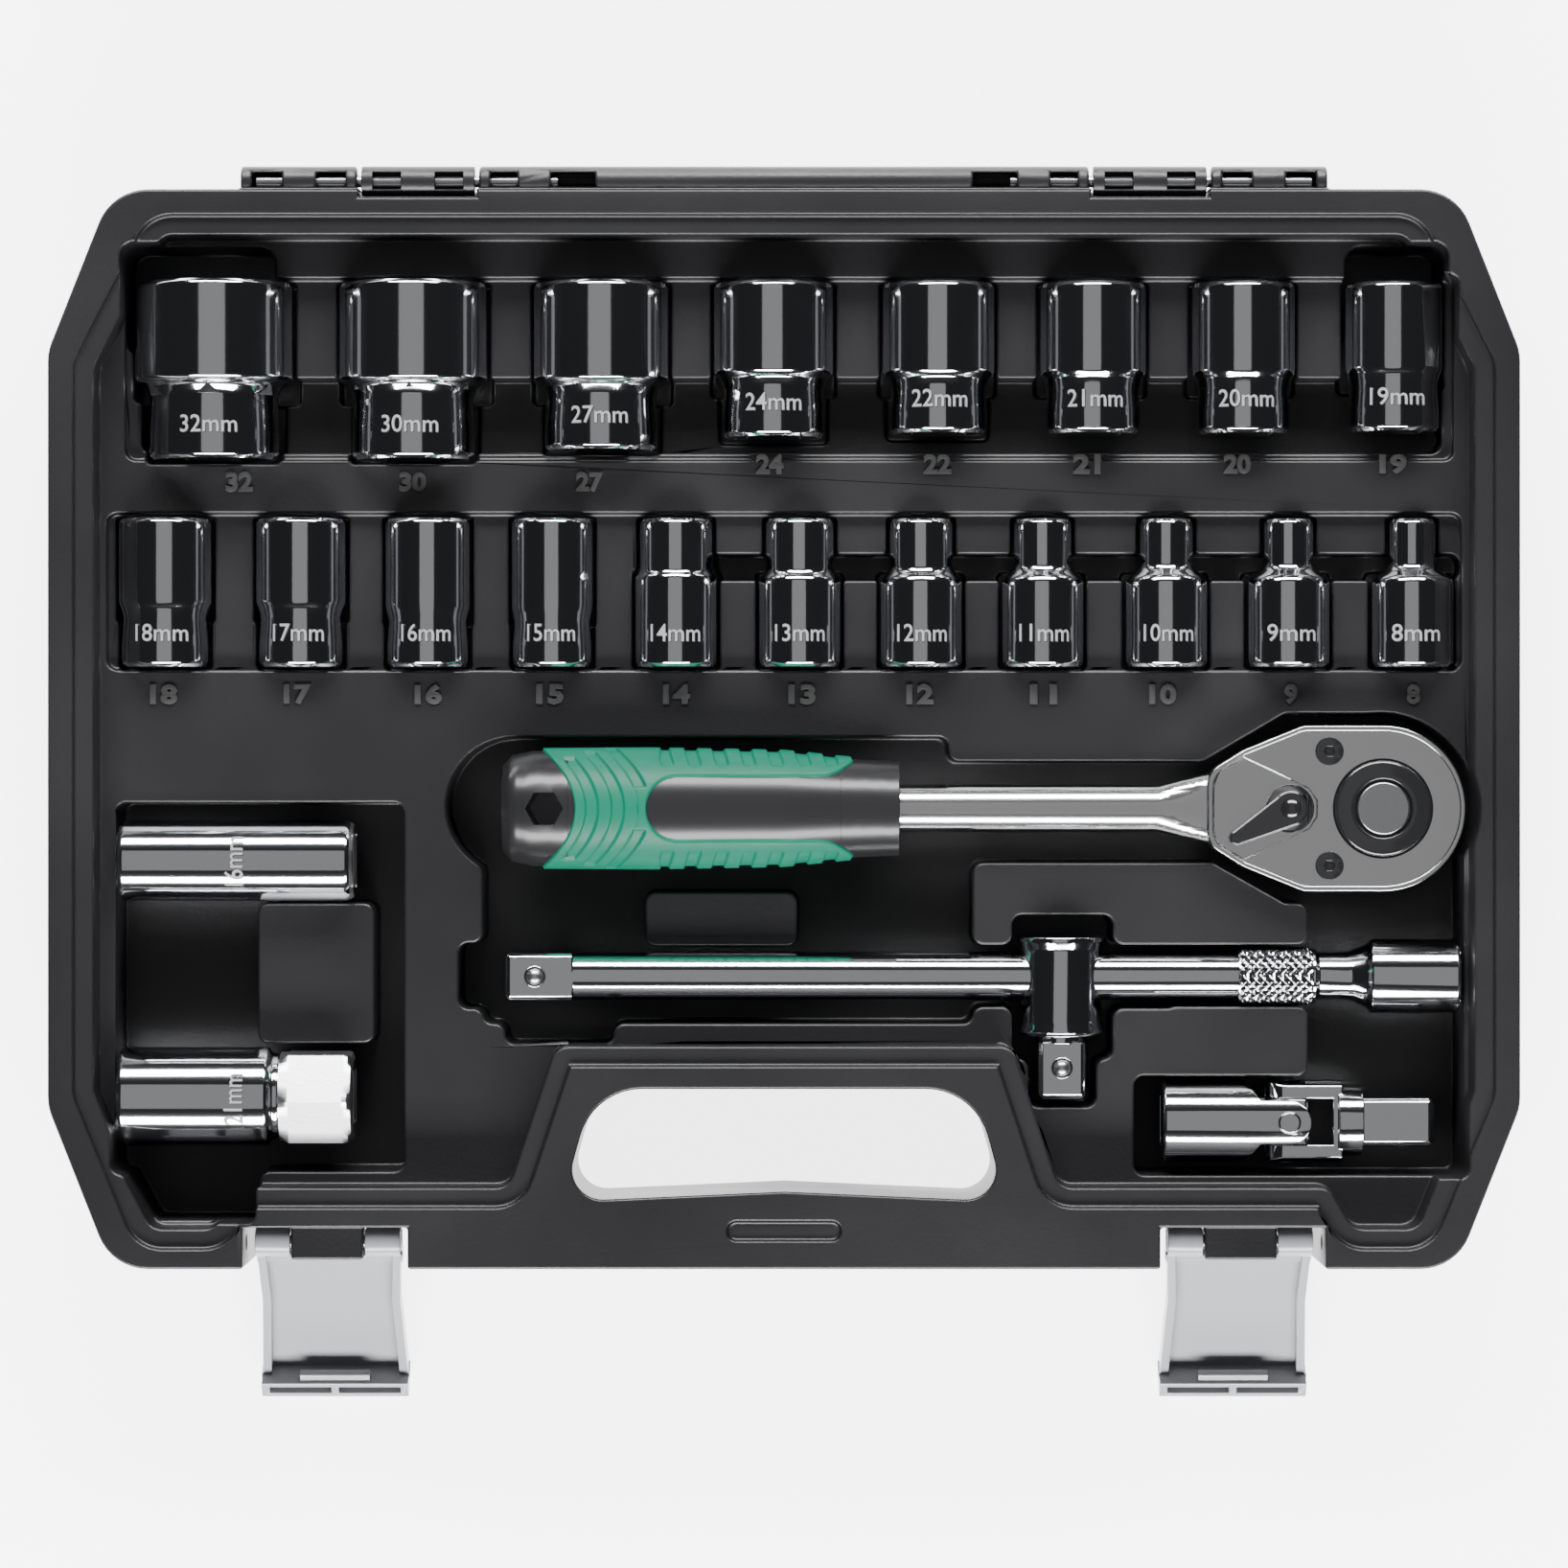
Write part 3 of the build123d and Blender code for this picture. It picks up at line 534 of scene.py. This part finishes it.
@dataclass
class Stamp:
    """Lettering bent round a lying cylinder."""

    body: str
    centre: Tuple[float, float, float]
    radius: float
    width: float = 15.6
    height: float = 5.5
    along_x: bool = False
    turned: bool = False

    def build(
        self, name: str, material: bpy.types.Material, lift: float = 0.0, shift: float = 0.0
    ) -> bpy.types.Object:
        """Makes flat lettering a hair proud of the cylinder; in the light colour it is a painted highlight, in
        the dark colour a painted shadow, so that the mark reads as cut into the metal.

        Args:
            name: the object's name.
            material: its material.
            lift: extra height over the cylinder in millimetres.
            shift: sideways offset in millimetres, for the shaded edge of the strokes.

        Returns:
            The object.
        """
        mesh = text_mesh(self.body, self.width, self.height, 0.0, 0.0, 0.03)
        finely_cut(mesh, 0.9 * MM)
        cx, cy, cz = (v * MM for v in self.centre)
        radius = (self.radius + lift) * MM

        def wrap(points: np.ndarray) -> np.ndarray:
            u, v = points[:, 0].copy(), points[:, 1].copy()
            if self.turned:
                u, v = -v, u
            u, v = u + shift * MM, v - shift * MM
            if self.along_x:
                angle = v / radius
                return np.column_stack([cx + u, cy + radius * np.sin(angle), cz + radius * np.cos(angle)])
            angle = u / radius
            return np.column_stack([cx + radius * np.sin(angle), cy + v, cz + radius * np.cos(angle)])

        move_points(mesh, wrap)
        return finish_mesh(name, mesh, [material], 60)

    def put(self, shop: "Workshop", name: str, body: str) -> None:
        """Attaches the light strokes, a painted highlight, and the dark copy under them, a painted shadow along
        their edge.

        Args:
            shop: the workshop that attaches pieces.
            name: start of the pieces' names.
            body: the CAD body they ride on.
        """
        # Painted shadow: a near-black copy shifted sideways; painted highlight: light grey strokes laid over
        # it.
        shop.put(self.build(f"{name}_edge", shop.materials.get(SHADED), 0.0, 0.22), body, SHADED)
        shop.put(self.build(f"{name}_mark", shop.materials.get(ENGRAVED_HIGHLIGHT), 0.03, 0.0), body, ENGRAVED_HIGHLIGHT)


# ---------------------------------------------------------------- pieces
class Workshop:
    """Holds what every builder needs: the frame, the materials and the way to attach a piece."""

    def __init__(self, frame: Dict) -> None:
        self.frame = frame
        self.materials = MaterialLibrary()

    def put(self, obj: bpy.types.Object, body: str, finish: Finish, *nodes: str) -> bpy.types.Object:
        """Attaches a piece to its body and hides the CAD nodes that it stands for.

        Args:
            obj: the piece.
            body: the CAD body it rides on.
            finish: not used.
            nodes: CAD nodes that it replaces.

        Returns:
            The piece.
        """
        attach(obj, body)
        if nodes:
            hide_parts(*nodes)
        return obj

    def softened(
        self, node: str, body: str, finish: Finish, bevel: float, segments: int = 2, angle: float = 28.0
    ) -> bpy.types.Object:
        """Copies a CAD node, rounds its hard edges and gives it a finish.

        Args:
            node: the CAD node.
            body: the CAD body it rides on.
            finish: its finish.
            bevel: width of the rounding in millimetres.
            segments: faces across each rounding.
            angle: smallest angle in degrees between faces that is rounded.

        Returns:
            The new piece.
        """
        source = self.frame["nodes"][node]
        mesh = source.data.copy()
        mesh.materials.clear()
        work = bmesh.new()
        work.from_mesh(mesh)
        bmesh.ops.remove_doubles(work, verts=work.verts, dist=5e-6)
        limit = math.radians(angle)
        hard = [e for e in work.edges if len(e.link_faces) == 2 and e.calc_face_angle(0.0) > limit]
        if bevel:
            bmesh.ops.bevel(
                work,
                geom=hard,
                offset=bevel * MM,
                segments=segments,
                profile=0.5,
                affect="EDGES",
                clamp_overlap=False,
            )
        work.to_mesh(mesh)
        work.free()
        for attribute in ("custom_normal", "sharp_edge", "sharp_face"):
            if attribute in mesh.attributes:
                mesh.attributes.remove(mesh.attributes[attribute])
        made = finish_mesh(f"{node}_shown", mesh, [self.materials.get(finish)], 40)
        modifier = made.modifiers.new("even_normals", "WEIGHTED_NORMAL")
        modifier.keep_sharp = True
        return self.put(made, body, finish, node)


@dataclass
class Socket:
    """One socket lying with its mouth towards the hinge."""

    size: int
    x: float
    mouth: float
    drive: float
    length: float
    mouth_len: float
    mouth_y: float
    axis_z: float

    def profile(self) -> List[Tuple[float, float]]:
        """Outer profile from the drive end to the mouth, with its corners rounded."""
        rm, rd = self.mouth / 2, self.drive / 2
        shoulder = self.length - self.mouth_len
        run = min(3.0, 0.6 * abs(rm - rd) + 0.8)
        mouth_end = [(rm, self.length - 0.9), (rm - 0.8, self.length)]
        if rm < rd:
            waist = [(rd, shoulder), (rm, shoulder + run)]
        else:
            step = rm - rd
            waist = [
                (rd, 0.4 * shoulder),
                (rd - 0.45, shoulder - 3.2),
                (rd + 0.3 * step, shoulder - 0.4),
                (rm - 0.35 * step, shoulder + 0.3),
                (rm, shoulder + 1.3),
            ]
        return rounded_profile([(rd - 1.0, 0), (rd, 1.0), *waist, *mouth_end], 1.6, 5)

    def build(self, shop: Workshop) -> None:
        """Makes the socket's body and its size mark.

        Args:
            shop: the workshop that attaches pieces.
        """
        count, length = 96, self.length
        flats = self.size / 2 + HEX_PLAY
        reach = min(length - 17.0, 0.75 * self.size + 6)
        bore = min(self.size, 12.0) / 2 - 0.3
        lip = self.size * 0.577
        outer = lathe_rings(self.profile(), count)
        inner = [
            section(polygon_ring(lip + 0.8, 0, 0, count), length),
            section(polygon_ring(lip + 0.1, 0, 0, count), length - 0.8),
            section(polygon_ring(flats, 6, 0, count), length - 1.6),
            section(polygon_ring(flats, 6, 0, count), length - reach),
            section(polygon_ring(bore, 0, 0, count), length - reach),
            section(polygon_ring(bore, 0, 0, count), SQUARE_DEPTH),
            section(polygon_ring(SQUARE_HALF, 4, 0, count), SQUARE_DEPTH),
            section(polygon_ring(SQUARE_HALF, 4, 0, count), 0.9),
            section(polygon_ring(SQUARE_HALF + 0.8, 4, 0, count), 0.0),
        ]
        place = Placement((self.x, self.mouth_y - length, self.axis_z), (0, 1, 0))
        surface = Surface()
        surface.grid(place.place(outer), 0)
        surface.grid(place.place(np.stack([outer[-1], inner[0]])), 0)
        surface.grid(place.place(np.stack(inner)), 1)
        surface.grid(place.place(np.stack([inner[-1], outer[0]])), 0)
        metals = [shop.materials.get(CHROME), shop.materials.get(BORE)]
        body = f"socket_{self.size}_body"
        shop.put(surface.build(f"socket_{self.size}_shown", metals, 30), body, CHROME, f"socket_{self.size}")
        centre = (self.x, self.mouth_y - length + 9.0, self.axis_z)
        width = 15.6 if self.size > 9 else 13.6
        width = min(width, self.drive * 0.64)
        stamp = Stamp(f"{self.size}mm", centre, self.drive / 2 + STAMP_LIFT, width, 4.6)
        stamp.put(shop, f"socket_{self.size}", body)


@dataclass
class PlugSocket:
    """Long spark plug socket lying along X with its mouth to the left."""

    size: int
    y: float
    diameter: float
    hexed: bool
    mouth_x: float = -177.4
    nut_rings: int = 7
    length: float = 62.5
    axis_z: float = 27.0

    def outer_rings(self, count: int) -> np.ndarray:
        """Rings of the outside from the drive end to the mouth."""
        r, length = self.diameter / 2, self.length
        if not self.hexed:
            points = [(r - 1.3, 0), (r, 1.6), (r, length - 0.9), (r - 0.8, length)]
            return lathe_rings(rounded_profile(points, 0.9, 4), count)
        top = length - 40.5
        flats = 23.5 / 2
        rows = [section(polygon_ring(flats - 1.6, 0, 0, count), 0.0)]
        hexagon = polygon_ring(flats, 6, -2 * math.pi / count, count)
        reach = np.linalg.norm(hexagon, axis=1)
        for depth, shrink in ((0.5, 0.9), (1.4, 0.3), (2.6, 0.0)):
            limit = flats + 1.9 - 1.9 * shrink
            rows.append(section(hexagon * (np.minimum(reach, limit) / reach)[:, None], depth))
        rows.extend(section(hexagon, depth) for depth in (2.8, top - 5.0, top - 4.8))
        rows.append(section(hexagon * (np.minimum(reach, flats + 0.3) / reach)[:, None], top - 2.4))
        neck = [(r - 1.9, top - 1.8), (r - 1.9, top - 0.6), (r, top + 1.0)]
        rest = neck + [(r, length - 0.9), (r - 0.8, length)]
        return np.concatenate([np.stack(rows), lathe_rings(rounded_profile(rest, 0.7, 4), count)])

    def build(self, shop: Workshop) -> None:
        """Makes the socket with its bore, and its size mark.

        Args:
            shop: the workshop that attaches pieces.
        """
        count, length = 96, self.length
        outer = self.outer_rings(count)
        nut = self.nut_rings if self.hexed else 1
        flats, bore = self.size / 2 + HEX_PLAY, self.size / 2 - 0.4
        inner = [
            section(polygon_ring(flats / 0.9, 0, 0, count), length),
            section(polygon_ring(flats, 6, 0, count), length - 1.4),
            section(polygon_ring(flats, 6, 0, count), length - 16),
            section(polygon_ring(bore, 0, 0, count), length - 16),
            section(polygon_ring(bore, 0, 0, count), SQUARE_DEPTH),
            section(polygon_ring(SQUARE_HALF, 4, 0, count), SQUARE_DEPTH),
            section(polygon_ring(SQUARE_HALF, 4, 0, count), 0.8),
            section(polygon_ring(SQUARE_HALF + 0.65, 4, 0, count), 0.0),
        ]
        place = Placement((self.mouth_x + length, self.y, self.axis_z), (-1, 0, 0))
        surface = Surface()
        surface.grid(place.place(outer[: nut + 1]), 1)
        surface.grid(place.place(outer[nut:]), 0)
        surface.grid(place.place(np.stack([outer[-1], inner[0]])), 0)
        surface.grid(place.place(np.stack(inner)), 1)
        surface.grid(place.place(np.stack([inner[-1], outer[0]])), 0)
        metals = [shop.materials.get(CHROME), shop.materials.get(BORE)]
        body = f"plug_{self.size}_body"
        name = f"plug_socket_{self.size}"
        shop.put(surface.build(f"{name}_shown", metals, 30), body, CHROME, name)
        centre = (self.mouth_x + self.length / 2 - 0.25, self.y, self.axis_z)
        stamp = Stamp(f"{self.size}mm", centre, self.diameter / 2 + STAMP_LIFT, 14.0, 5.0, True, True)
        stamp.put(shop, name, body)


ROW1 = (
    Socket(32, -152.3, 42.0, 34.5, 47.0, 27.0, 119.0, 28.5),
    Socket(30, -99.1, 39.5, 32.5, 47.0, 27.0, 119.0, 28.5),
    Socket(27, -48.9, 36.0, 30.0, 44.5, 27.0, 119.0, 28.5),
    Socket(24, -2.8, 32.0, 27.5, 41.0, 25.0, 119.0, 28.5),
    Socket(22, 41.3, 30.0, 26.0, 40.0, 25.0, 119.0, 28.5),
    Socket(21, 82.6, 28.4, 25.4, 40.0, 25.0, 119.0, 28.5),
    Socket(20, 122.8, 27.6, 24.8, 40.0, 25.0, 119.0, 28.5),
    Socket(19, 162.9, 26.0, 24.2, 39.5, 24.0, 119.0, 28.5),
)
ROW2 = (
    Socket(18, -165.5, 25.0, 23.4, 39.5, 23.5, 56.3, 27.0),
    Socket(17, -129.2, 24.2, 22.6, 39.5, 23.5, 56.3, 27.0),
    Socket(16, -95.3, 22.8, 21.9, 39.5, 24.5, 56.3, 27.0),
    Socket(15, -62.0, 21.9, 21.3, 39.5, 24.5, 56.3, 27.0),
    Socket(14, -28.9, 19.6, 22.0, 39.5, 15.5, 56.3, 27.0),
    Socket(13, 4.2, 18.4, 22.0, 39.5, 16.0, 56.3, 27.0),
    Socket(12, 36.7, 17.0, 22.0, 39.5, 16.0, 56.3, 27.0),
    Socket(11, 69.2, 15.6, 22.0, 39.5, 16.0, 56.3, 27.0),
    Socket(10, 102.3, 14.4, 22.0, 39.5, 16.0, 56.3, 27.0),
    Socket(9, 135.0, 13.4, 22.0, 39.5, 16.0, 56.3, 27.0),
    Socket(8, 168.1, 12.6, 22.0, 39.5, 16.0, 56.3, 27.0),
)
ROW1_LABELS = {32: (-145.5, 66.2), 30: (-99.1, 66.2), 27: (-51.9, 66.2), 24: (-3.8, 71.0), 22: (41.0, 71.0),
               21: (80.9, 71.0), 20: (121.1, 71.0), 19: (162.7, 71.0)}
ROW2_LABEL_X = {18: -165.7, 17: -130.0, 16: -95.0, 15: -62.5, 14: -28.7, 13: 4.8, 12: 36.3, 11: 69.3, 10: 101.2,
                9: 135.4, 8: 168.1}


class CaseTray:
    """The moulded tray with its raised numbers, hinge barrels and latches."""

    land_z = 30.0

    def build(self, shop: Workshop) -> None:
        """Makes the tray and everything that is moulded or pinned to it.

        Args:
            shop: the workshop that attaches pieces.
        """
        shop.softened("case_tray", "case", CASE, 0.8, 3, 35)
        for side in ("left", "right"):
            shop.softened(f"hinge_pin_{side}", "case", STEEL, 0.2)
            shop.softened(f"latch_pin_{side}", "case", STEEL, 0.2)
            shop.softened(f"lid_knuckle_{side}", "lid_knuckles", CASE, 0.25)
            shop.softened(f"latch_{side}", f"latch_{side}_body", LATCH, 0.35)
        labels = {**ROW1_LABELS, **{size: (x, 9.5) for size, x in ROW2_LABEL_X.items()}}
        for size, (x, y) in labels.items():
            self._number(shop, size, x, y)

    def _number(self, shop: Workshop, size: int, x: float, y: float) -> None:
        """Raised size number on the land, lighter than the case as a painted highlight."""
        mesh = text_mesh(str(size), 7.4 if size > 9 else 3.7, 5.4, 0.7, 0.15, 0.25)
        offset = np.array([x, y, self.land_z + 0.1]) * MM
        move_points(mesh, lambda points: points + offset)
        shop.put(finish_mesh(f"number_{size}", mesh, [shop.materials.get(RAISED_HIGHLIGHT)], 40), "case", RAISED_HIGHLIGHT)


@dataclass(frozen=True)
class GripShape:
    """Outline and relief of the ratchet's two-colour grip, in millimetres along the tool from its butt."""

    origin: Tuple[float, float, float] = (-75.0, -21.0, 31.0)
    stations: Tuple[Tuple[float, float], ...] = (
        (0, 11.5), (2.5, 14.2), (8, 15.4), (40, 15.6), (75, 15.0), (92, 13.2), (105.7, 12.6)
    )
    cap_edge: float = 19.6
    cap_bow: float = 8.6
    pill_start: float = 38.6
    pill_half: float = 8.2
    flare_start: float = 84.0
    sleeve_end: float = 97.5
    rib_pitch: float = 7.28

    def radius(self, x: np.ndarray) -> np.ndarray:
        """Radius of the plain grip at each distance from its butt."""
        fine = np.linspace(0, 105.7, 600)
        raw = np.interp(fine, *zip(*self.stations))
        kernel = np.hanning(41)
        padded = np.pad(raw, 20, mode="edge")
        smooth = np.convolve(padded, kernel / kernel.sum(), mode="valid")
        return np.interp(x, fine, np.minimum(smooth, raw + 0.1))

    def cover(self, x: np.ndarray, y: np.ndarray) -> np.ndarray:
        """How far each point lies inside the soft sleeve's outline; negative outside."""
        side = np.abs(y)
        bow = self.cap_edge - self.cap_bow * (side / 15.0) ** 2
        from_cap = x - bow
        centre = self.pill_start + self.pill_half
        to_pill = np.where(x < centre, np.hypot(x - centre, side) - self.pill_half, side - self.pill_half)
        flare = np.clip((x - self.flare_start) / (self.sleeve_end - self.flare_start), 0, 1)
        to_pill = to_pill - flare**2 * 8.0
        return np.minimum(np.minimum(from_cap, to_pill), self.sleeve_end - x)

    def relief(self, x: np.ndarray, y: np.ndarray) -> np.ndarray:
        """Depth from 0 to 1 of the arc grooves and of the notches along both sides."""
        side = np.abs(y)
        along = x - (self.cap_edge - self.cap_bow * (side / 15.0) ** 2)
        depth = np.zeros_like(x)
        for i, (low, reach) in enumerate(((3.0, 13.0), (9.9, 14.5), (16.8, 15.5))):
            width = np.where((i < 2) | (side > 5.5), 3.3, 0.0)
            band = np.minimum(along - low, low + width - along)
            depth = np.maximum(depth, np.clip(band / 0.5 + 0.5, 0, 1) * (side < reach))
        phase = np.mod(x - 42.6 + 0.35 * (side - 11.0), self.rib_pitch)
        notch = np.minimum(phase, 3.3 - phase)
        inside = (x > 42.0) & (x < 95.0)
        notch = np.clip(notch / 0.5 + 0.5, 0, 1) * np.clip((side - 10.9) / 0.5, 0, 1) * inside
        return np.maximum(depth, notch)


class Ratchet:
    """The ratchet: head, cover, drive ring, lever, button and grip."""

    grip = GripShape()
    head = (159.2, -21.0, 31.0)
    button_travel = 3.0
    spring_solid = 0.02

    def build(self, shop: Workshop) -> None:
        """Makes every visible and inner piece of the ratchet.

        Args:
            shop: the workshop that attaches pieces.
        """
        shop.softened("ratchet_head", "ratchet", DARK_CHROME, 0.3, 3, 40)
        shop.softened("ratchet_cover", "ratchet", DARK_CHROME, 0.12, 2, 40)
        shop.softened("ratchet_cover_screws", "ratchet", BLACK_GLOSS, 0.12)
        shop.softened("ratchet_gear", "gear", BLACK_GLOSS, 0.0)
        shop.softened("ratchet_ball", "gear", STEEL, 0.0)
        self._spring(shop)
        shop.softened("release_button", "button", STEEL, 0.0)
        shop.softened("reversing_lever", "lever", BLACK_GLOSS, 0.0)
        shop.softened("pawl_plunger", "lever", STEEL, 0.0)
        shop.softened("ratchet_pawl", "pawl", STEEL, 0.0)
        shop.softened("pawl_pin", "ratchet", STEEL, 0.0)
        shop.softened("grip_core", "ratchet", GRIP_BLACK, 0.3, 3, 40)
        self._drive_ring(shop)
        self._grip_shell(shop)

    def _spring(self, shop: Workshop) -> None:
        """Release spring, given a mesh of its own."""
        spring = shop.softened("release_spring", "gear", STEEL, 0.0)
        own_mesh(spring)

    def _drive_ring(self, shop: Workshop) -> None:
        """Domed black ring round the release button."""
        profile = [(13.0, 5.2), (13.0, 6.5), (12.3, 7.2), (8.6, 8.0), (7.6, 7.6), (7.5, 5.2)]
        place = Placement(self.head, (0, 0, 1), (0, 1, 0))
        surface = Surface()
        surface.grid(place.place(lathe_rings(rounded_profile(profile, 0.5, 4), 128)), 0, closed=True)
        shop.put(surface.build("drive_ring", [shop.materials.get(BLACK_GLOSS)], 50), "gear", BLACK_GLOSS)

    def _grip_shell(self, shop: Workshop) -> None:
        """Black body and green soft sleeve as two displaced skins."""
        shape = self.grip
        place = Placement(shape.origin, (1, 0, 0))
        x_rows = np.linspace(9.0, 99.0, 340)
        angle = np.linspace(0, 2 * math.pi, 180, endpoint=False)
        x, theta = np.meshgrid(x_rows, angle, indexing="ij")
        radius = shape.radius(x)
        across = radius * np.cos(theta)
        inside = shape.cover(x, across)
        step = np.clip(inside / 0.7 + 0.5, 0, 1)
        step = step * step * (3 - 2 * step)
        skin = radius - 1.2 + 1.9 * step - 0.72 * shape.relief(x, across) * step
        rings = np.stack([skin * np.cos(theta), skin * np.sin(theta), x], axis=-1)
        sleeve = Surface()
        sleeve.grid(place.place(rings), 0, keep=inside > -0.9)
        green = [shop.materials.get(GREEN)]
        shop.put(sleeve.build("grip_sleeve_shown", green, 80), "ratchet", GREEN, "grip_sleeve")
        rows = np.linspace(17.4, 90.6, 60)
        profile = list(zip(shape.radius(rows) - 0.1, rows))
        body = Surface()
        body.grid(place.place(lathe_rings(profile, 180)), 0)
        black = [shop.materials.get(GRIP_BLACK)]
        shop.put(body.build("grip_body_shown", black, 80), "ratchet", GRIP_BLACK, "grip_inlay")


class DriveTools:
    """The extension bar with its tee head, and the universal joint."""

    def build(self, shop: Workshop) -> None:
        """Makes the bar, the tee head and the universal joint.

        Args:
            shop: the workshop that attaches pieces.
        """
        shop.softened("extension_bar", "bar", CHROME, 0.3, 3)
        self._knurl(shop)
        shop.softened("extension_ball", "bar", STEEL, 0.0)
        shop.softened("tee_head", "tee", CHROME, 0.3, 3)
        shop.softened("tee_ball", "tee", STEEL, 0.0)
        shop.softened("joint_socket", "flex_socket", CHROME, 0.3, 3)
        shop.softened("joint_cross", "flex_cross", CHROME, 0.3, 3)
        shop.softened("joint_drive", "flex_drive", CHROME, 0.3, 3)
        shop.softened("joint_pins", "flex_drive", STEEL, 0.1)
        shop.softened("joint_ball", "flex_drive", STEEL, 0.0)


    @staticmethod
    def _knurl(shop: Workshop) -> None:
        """Diamond knurl on the bar's grip band."""
        rows, cols, starts = np.linspace(0, 20.0, 110), 280, 20
        angle = np.linspace(0, 2 * math.pi, cols, endpoint=False)
        x, theta = np.meshgrid(rows, angle, indexing="ij")
        pitch = 2 * math.pi * 7.4 / starts

        def ridge(phase: np.ndarray) -> np.ndarray:
            return np.abs(np.mod(phase, 1.0) - 0.5) * 2.0

        lead = x / pitch
        turn = theta * starts / (2 * math.pi)
        height = np.minimum(ridge(turn + lead), ridge(turn - lead))
        ends = np.clip(np.minimum(x, 20.0 - x) / 0.9, 0, 1)
        radius = 7.25 + 0.1 * ends + 0.55 * height * ends
        rings = np.stack([radius * np.cos(theta), radius * np.sin(theta), x], axis=-1)
        surface = Surface()
        surface.grid(Placement((121.4, -65.9, 26.0), (1, 0, 0)).place(rings), 0)
        shop.put(surface.build("bar_knurl", [shop.materials.get(CHROME)], 20), "bar", CHROME)


# ---------------------------------------------------------------- stage
@dataclass(frozen=True)
class Lamp:
    """One soft area light aimed at the tray."""

    name: str
    place: Tuple[float, float, float]
    size: Tuple[float, float]
    power: float
    aim: Tuple[float, float, float] = (0.0, 0.0, 0.02)


class Studio:
    """Floor, lights, world and camera."""

    lamps = (
        Lamp("overhead", (-0.08, 0.0, 1.9), (2.0, 1.3), 2.2),
        Lamp("rear", (0.0, 1.3, 0.85), (1.7, 0.44), 86.0),
        Lamp("front", (0.0, -1.3, 0.85), (1.7, 0.44), 86.0),
    )

    def build(self, shop: Workshop) -> None:
        """Sets the stage round the finished object.

        Args:
            shop: the workshop whose materials the floor uses.
        """
        self._floor(shop)
        self._backdrop(shop)
        for lamp in self.lamps:
            self._lamp(lamp)
        self._world(0.02)
        self._camera()

    @staticmethod
    def _floor(shop: Workshop) -> None:
        surface = Surface()
        ring = np.array([[-4, -4, 0], [4, -4, 0], [4, 4, 0], [-4, 4, 0]], dtype=float)
        surface.disc(ring, 0)
        floor = surface.build("floor", [shop.materials.get(FLOOR)])

    @staticmethod
    def _backdrop(shop: Workshop) -> None:
        """Pale wall round the stage that only fills the background."""
        rings = np.stack([section(polygon_ring(3.6, 0, 0, 96), z) for z in (-0.02, 5.0)])
        surface = Surface()
        surface.grid(rings, 0)
        wall = surface.build("backdrop", [shop.materials.get(WALL)])
        wall.visible_diffuse = wall.visible_glossy = wall.visible_shadow = False

    @staticmethod
    def _lamp(lamp: Lamp) -> None:
        data = bpy.data.lights.new(lamp.name, "AREA")
        data.shape = "RECTANGLE"
        data.size, data.size_y = lamp.size
        data.energy = lamp.power
        light = bpy.data.objects.new(lamp.name, data)
        light.location = lamp.place
        light.rotation_euler = (Vector(lamp.aim) - Vector(lamp.place)).to_track_quat("-Z", "Y").to_euler()
        bpy.context.scene.collection.objects.link(light)

    @staticmethod
    def _world(strength: float) -> None:
        world = bpy.data.worlds.new("soft_room")
        world.use_nodes = True
        background = world.node_tree.nodes["Background"]
        background.inputs["Color"].default_value = (0.9, 0.93, 1.0, 1.0)
        background.inputs["Strength"].default_value = strength
        bpy.context.scene.world = world

    @staticmethod
    def _camera() -> None:
        data = bpy.data.cameras.new("camera")
        data.sensor_width = 36.0
        data.lens = 36.0 / 2 / (207.5 / 1500.0)
        data.clip_start, data.clip_end = 0.1, 20.0
        camera = bpy.data.objects.new("camera", data)
        camera.location = (0.0, -0.0145, 1.544)
        bpy.context.scene.collection.objects.link(camera)
        bpy.context.scene.camera = camera


def main() -> None:
    """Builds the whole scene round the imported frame."""
    logging.basicConfig(level=logging.INFO)
    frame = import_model()
    shop = Workshop(frame)
    CaseTray().build(shop)
    for socket in (*ROW1, *ROW2):
        socket.build(shop)
    PlugSocket(16, -35.0, 21.6, False).build(shop)
    PlugSocket(21, -98.1, 26.4, True).build(shop)
    for size in (16, 21):
        shop.softened(f"plug_insert_{size}", f"plug_{size}_body", RUBBER, 0.2)
    Ratchet().build(shop)
    DriveTools().build(shop)
    Studio().build(shop)
    LOG.info("pieces built")


if __name__ == "__main__":
    main()
